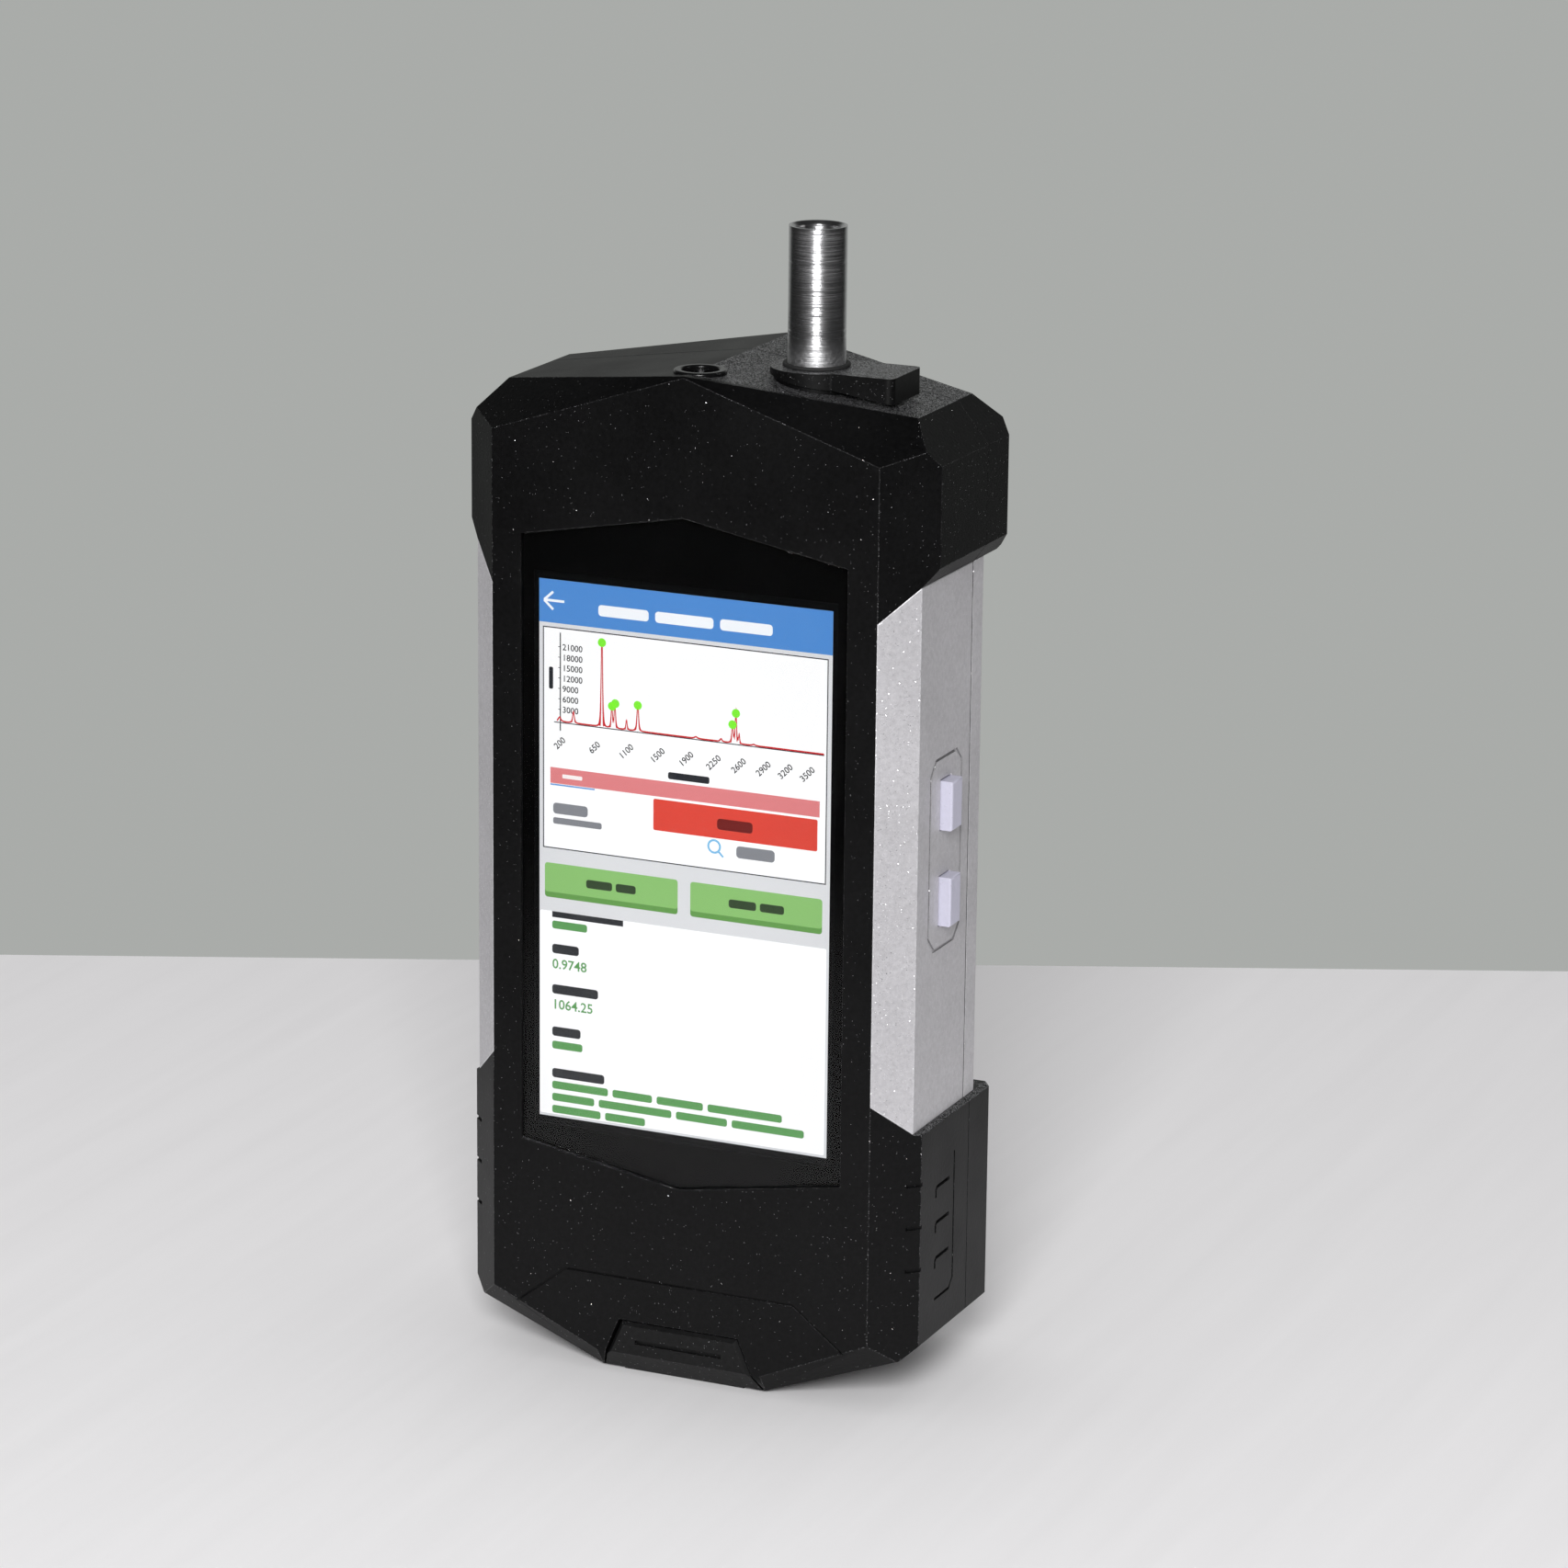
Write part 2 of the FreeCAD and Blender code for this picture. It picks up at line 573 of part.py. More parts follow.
housing_outline = mirrored([
    ("0", "body_height"),
    ("shoulder_half", "shoulder_z"),
    ("head_half", "shoulder_end_z"),
    ("head_half", "head_base + head_flare"),
    ("waist_half", "head_base"),
    ("waist_half", "bumper_top"),
    ("bumper_half", "bumper_top - bumper_ledge"),
    ("bumper_half", "hip_height"),
    ("hip_half", "hip_height - hip_drop"),
    ("base_half", "pad_thickness"),
])
brow_outline = mirrored([
    ("0", "brow_z"),
    ("far", "brow_z - brow_slope*far"),
    ("far", "brow_z + 2*tool_reach"),
])
chin_outline = mirrored([
    ("base_half", "chin_z"),
    ("far", "chin_z + chin_slope*(far - base_half)"),
    ("far", "chin_z - 2*tool_reach"),
])


def cut_brow(item):
    """The two facets over the front, which climb back to the roof."""
    slanting_pocket(item, "front", "seam_depth", 1, "brow_pitch", brow_outline)


def cut_chin(item):
    """The bevel under the front, which falls back to the base."""
    slanting_pocket(item, "front", "seam_depth", 1, "-chin_pitch", chin_outline)


# Side grips: thin silver panels, inlaid flush over the chamfers and the sides of the waist, two to a side.
def grip_blank(label, side, at_front):
    """One grip panel before its holes; side is 1 for the right and -1 for the left."""
    sign = "" if side > 0 else "-"
    face = "front" if at_front else "waist_back"
    inward = "+" if at_front else "-"
    item = new_body(label)
    inner = "front_half - grip_thickness"
    start = inner if side > 0 else "-waist_half"
    panel = [(face, "grip_top"), (f"{face} {inward} waist_chamfer", "head_base"), ("seam", "head_base"),
             ("seam", "bumper_top"), (f"{face} {inward} waist_chamfer", "bumper_top"), (face, "grip_bottom")]
    pad(item, "YZ", start, f"waist_half - ({inner})", panel)
    around = [
        ("waist_half + tool_reach", f"{face} {inward} (waist_chamfer + tool_reach)"),
        ("front_half", face),
        ("front_half - grip_thickness/sqrt(2)", f"{face} {inward} grip_thickness/sqrt(2)"),
        ("waist_half - grip_thickness", f"{face} {inward} (waist_chamfer + grip_thickness*(sqrt(2) - 1))"),
        ("waist_half - grip_thickness", f"seam {inward} 1"),
        ("front_half - tool_reach", f"seam {inward} 1"),
        ("front_half - tool_reach", f"{face} {'-' if at_front else '+'} 1"),
        ("waist_half + tool_reach", f"{face} {'-' if at_front else '+'} 1"),
    ]
    pocket(item, "XY", "0", "body_height", [(f"{sign}({across})", up) for across, up in around])
    return item


right_front_blank = grip_blank("right_front_grip_blank", 1, True)
left_front_blank = grip_blank("left_front_grip_blank", -1, True)
right_rear_grip = keep(grip_blank("side_grip_right_rear", 1, False))
left_rear_grip = keep(grip_blank("side_grip_left_rear", -1, False))
keep(grip_blank("side_grip_left_front", -1, True))

# Side buttons: two caps that slide in slots through the grip and the shell wall, each with a flange inside.
place("button_y", "front + button_depth_centre")
place("button_low_y", "button_y - button_width/2")
place("button_high_y", "button_y + button_width/2")
place("flange_face", "cavity_half - flange_gap")
place("frame_z", "(bumper_top + head_base)/2 - button_drop")
place("upper_button_z", "frame_z + button_pitch/2")
place("lower_button_z", "frame_z - button_pitch/2")


def button_slot(centre):
    """The slot of one button, as seen from the side."""
    return box("button_low_y - button_gap", "button_high_y + button_gap",
               f"{centre} - button_tall/2 - button_gap", f"{centre} + button_tall/2 + button_gap")


def frame_loop(inset):
    """The octagonal line's edge, moved inwards by inset."""
    return clipped(f"button_y - frame_width/2 + {inset}", f"button_y + frame_width/2 - {inset}",
                   f"frame_z - frame_tall/2 + {inset}", f"frame_z + frame_tall/2 - {inset}", "frame_corner")


def button_cap(label, centre):
    """A cap with its flange and nib."""
    item = new_body(label)
    pad(item, "YZ", "flange_face - flange_thickness", "flange_thickness",
        box("button_low_y - flange_margin", "button_high_y + flange_margin",
            f"{centre} - button_tall/2 - flange_margin", f"{centre} + button_tall/2 + flange_margin"))
    pad(item, "YZ", "flange_face", "waist_half + button_proud - flange_face",
        box("button_low_y", "button_high_y", f"{centre} - button_tall/2", f"{centre} + button_tall/2"))
    outer = value("waist_half + button_proud")
    soften(item, "Fillet", "button_rounding", lambda edge: abs(edge.CenterOfMass.x - outer) < 0.01)
    pad(item, "YZ", "flange_face - flange_thickness - nib_length", "nib_length",
        circle("button_y", centre, "nib_radius"))
    return item


keep(button_cap("upper_button", "upper_button_z"))
keep(button_cap("lower_button", "lower_button_z"))

right_front_grip = doc.addObject("Part::Cut", "side_grip_right_front")
grip_cutter = new_body("right_front_grip_cutter")
pad(grip_cutter, "YZ", "waist_half - line_depth", "2*line_depth", frame_loop("0"), frame_loop("line_width"))
pad(grip_cutter, "YZ", "waist_half - 2*grip_thickness", "3*grip_thickness",
    button_slot("upper_button_z"), button_slot("lower_button_z"))
right_front_grip.Base = right_front_blank
right_front_grip.Tool = grip_cutter
right_front_grip.Label = "side_grip_right_front"
keep(right_front_grip)

# Cover glass, its adhesive frame and the display behind it.
place("glass_half", "front_half - glass_inset")
place("display_half", "glass_half - glass_border_side")
place("display_low", "bumper_top - display_dip")
place("display_high", "head_base - display_headroom")
place("glass_top", "display_high + glass_border_top")
place("glass_bottom", "display_low - glass_border_foot")
place("glass_back", "front + glass_sink + glass_thickness")
place("recess_floor", "glass_back + adhesive_thickness")
place("wall_back", "front + front_wall")


def glass_outline(margin):
    """The glass's pointed outline, grown by margin."""
    return mirrored([("0", f"glass_top + glass_peak + {margin}"),
                     (f"glass_half + {margin}", f"glass_top + {margin}"),
                     (f"glass_half + {margin}", f"glass_bottom - {margin}"),
                     ("0", f"glass_bottom - glass_point - {margin}")])


def display_outline(margin):
    """The panel's outline, grown by margin."""
    return box(f"-display_half - {margin}", f"display_half + {margin}",
               f"display_low - {margin}", f"display_high + {margin}")


cover_glass = keep(new_body("cover_glass"))
pad(cover_glass, "XZ", "front + glass_sink", "glass_thickness", glass_outline("0"))
adhesive = keep(new_body("glass_adhesive"))
pad(adhesive, "XZ", "glass_back", "adhesive_thickness", glass_outline("0"), display_outline("display_gap"))
display = keep(new_body("display_panel"))
pad(display, "XZ", "recess_floor", "wall_back - recess_floor", display_outline("0"))

# Display bracket: a sheet that backs the display, and that the posts of the front shell pass through.
place("post_x", "cavity_half - post_inset")
place("bench_top", "ceiling - bench_headroom")
place("bench_low", "bench_top - bench_tall")
place("bench_low_post", "bench_low + bench_post_rise")
place("bench_high_post", "bench_low_post + bench_post_pitch")
place("board_low_post", "display_low + board_post_rise")
place("board_high_post", "bench_low - board_post_drop")
place("bracket_half", "front_half - skin*sqrt(2) + front_wall - bracket_gap")
post_heights = ("board_low_post", "board_high_post", "bench_low_post", "bench_high_post")


def pair(height, radius, across="post_x"):
    """Two circles, one each side."""
    return [circle(across, height, radius), circle(f"-{across}", height, radius)]


bracket = keep(new_body("display_bracket"))
pad(bracket, "XZ", "wall_back", "bracket_thickness",
    box("-bracket_half", "bracket_half", "board_low_post - post_radius - bracket_margin",
        "bench_high_post + post_radius + bracket_margin"),
    *[hole for height in post_heights for hole in pair(height, "post_radius + post_gap")])

# Main board with the processor's shield, a sounder and the screws.
place("board_y", "front + board_back")
place("board_rear", "board_y + board_thickness")
place("board_half", "post_x + board_edge")
place("shield_low", "board_low_post + shield_rise_z")
place("sounder_z", "board_low_post + sounder_rise_z")

main_board = keep(new_body("main_board"))
pad(main_board, "XZ", "board_y", "board_thickness",
    box("-board_half", "board_half", "board_low_post - board_margin", "board_high_post + board_margin"),
    *pair("board_low_post", "pilot_radius"), *pair("board_high_post", "pilot_radius"))
shield = keep(new_body("processor_shield"))
pad(shield, "XZ", "board_rear", "shield_rise",
    box("-shield_half", "shield_half", "shield_low", "shield_low + shield_tall"))
pocket(shield, "XZ", "board_rear", "shield_rise - shield_wall",
       box("-shield_half + shield_wall", "shield_half - shield_wall", "shield_low + shield_wall",
           "shield_low + shield_tall - shield_wall"))
sounder = keep(new_body("sounder"))
pad(sounder, "XZ", "board_rear", "sounder_rise", circle("sounder_x", "sounder_z", "sounder_radius"))
pocket(sounder, "XZ", "board_rear + sounder_rise/2", "sounder_rise",
       circle("sounder_x", "sounder_z", "sounder_port"))


def screws_from_behind(label, seat, clamped, circles_for):
    """Small screws whose heads sit on the seat and which go forwards into their posts."""
    item = new_body(label)
    pad(item, "XZ", seat, "screw_head_height", *circles_for("screw_head_radius"))
    pad(item, "XZ", f"{seat} - {clamped} - screw_bite", f"{clamped} + screw_bite",
        *circles_for("pilot_radius"))
    return item


keep(screws_from_behind("board_screws", "board_rear", "board_thickness",
                        lambda radius: pair("board_low_post", radius) + pair("board_high_post", radius)))

# Button board on two standoffs from the side wall, with a switch under each button.
place("switch_face", "flange_face - flange_thickness - button_travel - switch_gap")
place("button_board_x", "switch_face - switch_height - board_thickness")
place("standoff_low_y", "button_y - button_board_half + standoff_inset")
place("standoff_high_y", "button_y + button_board_half - standoff_inset")
place("standoff_low_z", "frame_z - button_board_tall/2 + standoff_inset")
place("standoff_high_z", "frame_z + button_board_tall/2 - standoff_inset")

button_board = keep(new_body("button_board"))
pad(button_board, "YZ", "button_board_x", "board_thickness",
    box("button_y - button_board_half", "button_y + button_board_half",
        "frame_z - button_board_tall/2", "frame_z + button_board_tall/2"))
switches = keep(new_body("button_switches"))
for centre in ("upper_button_z", "lower_button_z"):
    pad(switches, "YZ", "button_board_x + board_thickness", "switch_height",
        box("button_y - switch_side/2", "button_y + switch_side/2",
            f"{centre} - switch_side/2", f"{centre} + switch_side/2"))
for centre in ("upper_button_z", "lower_button_z"):
    pocket(switches, "YZ", "switch_face - switch_well_depth", "switch_well_depth + 1",
           circle("button_y", centre, "switch_well"))

# Probe: the axis of light leaves through the roof, to the right of the ridge.
place("probe_y", "front + probe_depth")
place("barrel_top", "body_height - barrel_sink")
place("window_seat", "barrel_top - socket_depth")
place("barrel_bottom", "bench_top - barrel_reach")
place("lens_seat_z", "barrel_bottom + lens_seat_rise")
place("lens_sphere", "(optic_bore^2 + lens_crown^2)/(2*lens_crown)")

barrel = keep(new_body("probe_barrel"))
turn(barrel, "probe_x", "probe_y", [
    ("lens_lip", "barrel_bottom"), ("barrel_radius", "barrel_bottom"), ("barrel_radius", "barrel_top"),
    ("socket_radius", "barrel_top"), ("socket_radius", "window_seat"), ("optic_bore", "window_seat"),
    ("optic_bore", "lens_seat_z"), ("lens_lip", "lens_seat_z")])
probe_window = keep(new_body("probe_window"))
turn(probe_window, "probe_x", "probe_y", [
    ("0", "window_seat"), ("socket_radius - optic_play", "window_seat"),
    ("socket_radius - optic_play", "window_seat + window_thickness"),
    ("0", "window_seat + window_thickness")])

lens = keep(doc.addObject("Part::Common", "objective_lens"))
lens_blank = doc.addObject("Part::Cylinder", "lens_blank")
lens_blank.setExpression("Radius", bound("optic_bore - optic_play"))
lens_blank.setExpression("Height", bound("lens_edge + lens_crown"))
lens_blank.setExpression("Placement.Base.x", bound("probe_x"))
lens_blank.setExpression("Placement.Base.y", bound("probe_y"))
lens_blank.setExpression("Placement.Base.z", bound("lens_seat_z"))
lens_ball = doc.addObject("Part::Sphere", "lens_ball")
lens_ball.setExpression("Radius", bound("lens_sphere"))
lens_ball.setExpression("Placement.Base.x", bound("probe_x"))
lens_ball.setExpression("Placement.Base.y", bound("probe_y"))
lens_ball.setExpression("Placement.Base.z", bound("lens_seat_z + lens_edge + lens_crown - lens_sphere"))
lens.Base = lens_blank
lens.Tool = lens_ball
lens.Label = "objective_lens"

# Optical bench: a milled box that holds the spectrometer's optics, with ears for its four screws.
place("bench_half", "post_x - bench_inset")
place("bench_y", "front + bench_front")
place("bench_floor", "bench_y + bench_wall")
place("bench_back", "bench_y + bench_deep")
place("bench_ground", "bench_low + bench_wall")

bench = keep(new_body("optical_bench"))
pad(bench, "XZ", "bench_y", "bench_deep", box("-bench_half", "bench_half", "bench_low", "bench_top"))
for height in ("bench_low_post", "bench_high_post"):
    pad(bench, "XZ", "bench_y", "bench_wall",
        box("-post_x - ear_reach", "post_x + ear_reach", f"{height} - ear_half", f"{height} + ear_half"))
pocket(bench, "XZ", "bench_floor", "bench_deep",
       box("-bench_half + bench_wall", "bench_half - bench_wall", "bench_ground", "bench_top - bench_wall"))
pocket(bench, "XZ", "bench_y", "bench_wall", *pair("bench_low_post", "pilot_radius"),
       *pair("bench_high_post", "pilot_radius"))
pocket(bench, "XY", "bench_top - bench_wall - 1", "bench_wall + 2",
       circle("probe_x", "probe_y", "barrel_radius"))
bench_lid = keep(new_body("bench_cover"))
pad(bench_lid, "XZ", "bench_back", "lid_thickness",
    box("-bench_half", "bench_half", "bench_low", "bench_top"))
keep(screws_from_behind("bench_screws", "bench_floor", "bench_wall",
                        lambda radius: pair("bench_low_post", radius) + pair("bench_high_post", radius)))

# Optics in the bench: laser, edge filter, slit, two mirrors, grating and detector, all on the bench's floor.
place("filter_z", "barrel_bottom - filter_drop")
place("slit_z", "filter_z - slit_drop")
place("grating_z", "bench_ground + grating_rise")
place("detector_z", "bench_ground + detector_rise")


def standing_block(label, *loops):
    """An optic that stands on the bench's floor."""
    item = new_body(label)
    pad(item, "XZ", "bench_floor", "optic_deep", *loops)
    return item


def mirror_block(label, centre):
    """A block with a hollow face upwards, standing in the bench's lower corner."""
    item = standing_block(label, box(f"{centre} - mirror_width/2", f"{centre} + mirror_width/2",
                                     "bench_ground", "bench_ground + mirror_height"))
    rim = "mirror_hollow - sqrt(mirror_hollow^2 - mirror_width^2/4)"
    pocket(item, "XZ", "bench_floor - 1", "optic_deep + 2",
           circle(centre, f"bench_ground + mirror_height - ({rim}) + mirror_hollow", "mirror_hollow"))
    return item


half_filter = "filter_length/2/sqrt(2)"
half_sheet = "filter_thickness/2/sqrt(2)"
edge_filter = keep(standing_block("edge_filter", [
    (f"probe_x - {half_filter} + {half_sheet}", f"filter_z - {half_filter} - {half_sheet}"),
    (f"probe_x + {half_filter} + {half_sheet}", f"filter_z + {half_filter} - {half_sheet}"),
    (f"probe_x + {half_filter} - {half_sheet}", f"filter_z + {half_filter} + {half_sheet}"),
    (f"probe_x - {half_filter} - {half_sheet}", f"filter_z - {half_filter} + {half_sheet}")]))
keep(mirror_block("collimating_mirror", "probe_x"))
keep(mirror_block("focusing_mirror", "focus_x"))
keep(standing_block("grating", box("grating_x - grating_width/2", "grating_x + grating_width/2",
                                   "grating_z", "grating_z + grating_thickness")))
slit_plate = keep(standing_block("slit_plate", box("probe_x - slit_width/2", "probe_x + slit_width/2",
                                                   "slit_z", "slit_z + slit_thickness")))
pocket(slit_plate, "XY", "slit_z - 1", "slit_thickness + 2",
       box("probe_x - slit_opening/2", "probe_x + slit_opening/2", "probe_y - slit_length/2",
           "probe_y + slit_length/2"))
detector = keep(standing_block("detector_board", box("focus_x - detector_half", "focus_x + detector_half",
                                                     "detector_z", "detector_z + board_thickness")))
pad(detector, "XY", "detector_z - sensor_drop", "sensor_drop",
    box("focus_x - sensor_half", "focus_x + sensor_half",
        "probe_y - sensor_deep/2", "probe_y + sensor_deep/2"))

laser = keep(new_body("laser_module"))
pad(laser, "YZ", "laser_start", "laser_end - laser_start", circle("probe_y", "filter_z", "laser_radius"))
pocket(laser, "YZ", "laser_end - laser_mouth_depth", "laser_mouth_depth + 1",
       circle("probe_y", "filter_z", "laser_mouth"))
laser_clamp = keep(new_body("laser_clamp"))
pad(laser_clamp, "YZ", "laser_start + clamp_start", "clamp_width",
    box("bench_floor", "probe_y", "filter_z - clamp_half", "filter_z + clamp_half"))
pocket(laser_clamp, "YZ", "laser_start + clamp_start - 1", "clamp_width + 2",
       circle("probe_y", "filter_z", "laser_radius"))

# Heat sink on the bench cover, behind the laser.
place("lid_back", "bench_back + lid_thickness")
place("sink_low", "bench_low + sink_rise_z")
place("sink_rise", "back_inside - sink_gap - lid_back")

heat_sink = keep(new_body("heat_sink"))
pad(heat_sink, "XZ", "lid_back", "sink_rise",
    box("sink_x - sink_half", "sink_x + sink_half", "sink_low", "sink_low + sink_tall"))
fin_pitch = "((2*sink_half - fin_thickness)/(fin_count - 1))"
gaps = []
for number in range(int(value("fin_count")) - 1):
    left = f"sink_x - sink_half + fin_thickness + {number}*{fin_pitch}"
    right = f"{left} + {fin_pitch} - fin_thickness"
    gaps.append(box(left, right, "sink_low - 1", "sink_low + sink_tall + 1"))
pocket(heat_sink, "XZ", "lid_back + sink_base", "sink_rise", *gaps)

# Adapter: a plate on the collar, with a tab held down by a magnet and a pin, and a turned steel tube.
place("plate_top", "body_height + plate_rise")
place("tube_top", "plate_top + tube_length")
place("plate_under", "body_height + collar_height")
place("tab_y", "probe_y + tab_shift")
place("pin_y", "front + pin_depth")
place("magnet_roof", "body_height - roof_pitch*(magnet_x + magnet_radius)")
place("pin_roof", "body_height - roof_pitch*pin_x")


def above_roof(rise):
    """A loop over the right-hand roof slope, moved up by rise."""
    return [("-1", f"body_height + {rise}"), ("far", f"body_height + {rise} - roof_pitch*far"),
            ("far", "body_height + tool_reach"), ("-1", "body_height + tool_reach")]


def below_plate():
    """A loop under the adapter plate's sloping underside."""
    return [("-1", "plate_under"), ("far", "plate_under - roof_pitch*far"),
            ("far", "body_height - tool_reach"), ("-1", "body_height - tool_reach")]


plate = keep(new_body("adapter_plate"))
pad(plate, "XY", "body_height - tab_end*roof_pitch - 1", "plate_top - body_height + tab_end*roof_pitch + 1",
    box("probe_x", "tab_end", "tab_y - tab_half", "tab_y + tab_half"))
tab_end = value("tab_end")
soften(plate, "Fillet", "tab_rounding",
       lambda edge: upright(edge) and abs(edge.CenterOfMass.x - tab_end) < 0.01)
pad(plate, "XY", "body_height - tab_end*roof_pitch - 1", "plate_top - body_height + tab_end*roof_pitch + 1",
    circle("probe_x", "probe_y", "plate_radius"))
pocket(plate, "XZ", "probe_y - tool_reach", "2*tool_reach", below_plate())
pocket(plate, "XY", "body_height - tool_reach", "2*tool_reach", circle("probe_x", "probe_y", "spigot_radius"))
pocket(plate, "XY", "body_height - tool_reach",
       "tool_reach + collar_height - roof_pitch*(magnet_x - magnet_radius) + magnet_cover + magnet_thickness",
       circle("magnet_x", "tab_y", "magnet_radius"))
pocket(plate, "XY", "body_height - tool_reach",
       "tool_reach - roof_pitch*pin_x + pin_height + pin_gap",
       circle("pin_x", "pin_y", "pin_radius + pin_gap"))

tube = keep(new_body("adapter_tube"))
place("spigot_end", "barrel_top - spigot_depth")
turn(tube, "probe_x", "probe_y", [
    ("spigot_bore", "spigot_end"), ("spigot_radius", "spigot_end"), ("spigot_radius", "plate_top"),
    ("tube_radius", "plate_top"), ("tube_radius", "tube_top"), ("tube_bore + tube_lead", "tube_top"),
    ("tube_bore", "tube_top - tube_lead"), ("tube_bore", "plate_top"), ("spigot_bore", "plate_top")])
for line in ("upper_line", "lower_line"):
    groove = tube.newObject("PartDesign::Groove", "scribed_line")
    groove_sketch = draw(tube, "XZ", "probe_y", [
        box("tube_radius - scribe_depth", "tube_radius + 1",
            f"tube_top - {line} - scribe_width/2", f"tube_top - {line} + scribe_width/2")], shift="probe_x")
    groove.Profile = groove_sketch
    groove.ReferenceAxis = (groove_sketch, ["V_Axis"])
    groove.Angle = 360.0
    tube.Tip = groove
tube_ring = keep(new_body("tube_ring"))
turn(tube_ring, "probe_x", "probe_y",
     box("tube_radius", "ring_radius", "plate_top", "plate_top + ring_height"))


def disc(label, across, depth, low, high, radius):
    """A round piece that stands upright."""
    item = new_body(label)
    pad(item, "XY", low, f"({high}) - ({low})", circle(across, depth, radius))
    return item


place("tab_magnet_z", "body_height + collar_height - roof_pitch*(magnet_x - magnet_radius) + magnet_cover")
keep(disc("tab_magnet", "magnet_x", "tab_y",
          "tab_magnet_z", "tab_magnet_z + magnet_thickness", "magnet_radius"))
keep(disc("roof_magnet", "magnet_x", "tab_y",
          "magnet_roof - magnet_thickness", "magnet_roof", "magnet_radius"))
keep(disc("locating_pin", "pin_x", "pin_y", "pin_roof - pin_root", "pin_roof + pin_height", "pin_radius"))

# Aiming camera: a bezel let into the front of the ridge, its window, and the module under it.
place("camera_y", "front + camera_depth")
place("window_z", "body_height - camera_window_sink")
place("camera_board_y", "camera_y - camera_board_lead")

bezel = keep(new_body("camera_bezel"))
turn(bezel, "0", "camera_y", [
    ("bezel_lip", "body_height - bezel_sink"), ("bezel_radius", "body_height - bezel_sink"),
    ("bezel_radius", "body_height + bezel_rise"), ("bezel_bore", "body_height + bezel_rise"),
    ("bezel_bore", "window_z"), ("bezel_lip", "window_z")])
keep(disc("camera_window", "0", "camera_y", "window_z", "window_z + camera_window_thickness", "bezel_bore"))
camera = keep(disc("camera_module", "0", "camera_y", "ceiling", "body_height - camera_lens_sink",
                   "camera_lens_radius"))
pad(camera, "XY", "ceiling - camera_board_thickness", "camera_board_thickness",
    box("-camera_board_half", "camera_board_half", "camera_board_y", "camera_board_y + camera_board_deep"))

# Port cover: a flap with a trapezoid lip at the front and a tongue under the base, hinged on a pin behind.
place("hinge_y", "front + hinge_depth")
place("hinge_z", "cover_lift + tongue_thickness/2")
place("recess_top", "cover_lift + tongue_thickness + cover_back_gap")
place("port_floor", "recess_top + port_floor_thickness")
place("hinge_pin_half", "tongue_half + cover_gap + hinge_pin_reach")


def lip_outline(margin):
    """The trapezoid of the lip, grown by margin."""
    return mirrored([(f"lip_top_half + {margin}", f"lip_top + {margin}"),
                     (f"lip_foot_half + {margin}", "cover_lift")])


port_cover = keep(new_body("port_cover"))
pad(port_cover, "XZ", "front", "lip_thickness", lip_outline("0"))
face_y = value("front")
foot_z = value("cover_lift")
soften(port_cover, "Chamfer", "lip_bevel",
       lambda edge: abs(edge.BoundBox.YMax - face_y) < 0.01 and edge.BoundBox.ZMax - foot_z > 0.01)
pad(port_cover, "YZ", "-tongue_half", "2*tongue_half",
    box("front + lip_thickness/2", "hinge_y", "cover_lift", "cover_lift + tongue_thickness"))
pad(port_cover, "YZ", "-tongue_half", "2*tongue_half", circle("hinge_y", "hinge_z", "tongue_thickness/2"))
cut_chin(port_cover)
pocket(port_cover, "YZ", "-tongue_half - 1", "2*tongue_half + 2",
       circle("hinge_y", "hinge_z", "hinge_pin_radius + hinge_pin_gap"))
pocket(port_cover, "XZ", "front", "nail_slot_depth",
       box("-nail_slot_half", "nail_slot_half",
           "nail_slot_z - nail_slot_width/2", "nail_slot_z + nail_slot_width/2"))
hinge_pin = keep(new_body("port_cover_pin"))
pad(hinge_pin, "YZ", "-hinge_pin_half", "2*hinge_pin_half",
    circle("hinge_y", "hinge_z", "hinge_pin_radius"))

# Ports on their board, with their mouths in the floor above the cover.
place("port_y", "front + port_depth")
place("port_board_y", "front + port_board_front")
place("front_post_y", "port_board_y + port_post_radius + port_post_inset")
place("rear_post_y", "port_board_y + port_board_deep - port_post_radius - port_post_inset")


def usb_outline(margin):
    """The data port's outline from below, grown by margin."""
    return clipped(f"usb_x - usb_half - {margin}", f"usb_x + usb_half + {margin}",
                   f"port_y - usb_thickness/2 - {margin}", f"port_y + usb_thickness/2 + {margin}",
                   "usb_thickness/4")


port_board = keep(new_body("port_board"))
pad(port_board, "XY", "port_board_z", "board_thickness",
    box("-port_board_half", "port_board_half", "port_board_y", "port_board_y + port_board_deep"))
usb_port = keep(new_body("data_port"))
pad(usb_port, "XY", "recess_top", "port_board_z - recess_top", usb_outline("0"))
pocket(usb_port, "XY", "recess_top - 1", "port_board_z - recess_top - usb_wall", usb_outline("-usb_wall"))
pad(usb_port, "XY", "recess_top + usb_tongue_sink", "port_board_z - recess_top - usb_tongue_sink",
    box("usb_x - usb_tongue_half", "usb_x + usb_tongue_half", "port_y - usb_wall", "port_y + usb_wall"))
jack = keep(new_body("charging_jack"))
pad(jack, "XY", "recess_top", "port_board_z - recess_top", circle("jack_x", "port_y", "jack_radius"))
pocket(jack, "XY", "recess_top - 1", "port_board_z - recess_top - jack_blind + 1",
       circle("jack_x", "port_y", "jack_bore"))

# Battery: a pack of two round cells in a tray behind the back wall, its contacts, and a screwed door.
place("bay_low", "bumper_top + bay_rise")
place("bay_high", "bench_low - tray_headroom - tray_wall")
place("door_seat", "waist_back - door_thickness")
place("door_screw_x", "bay_half + door_screw_inset_x")


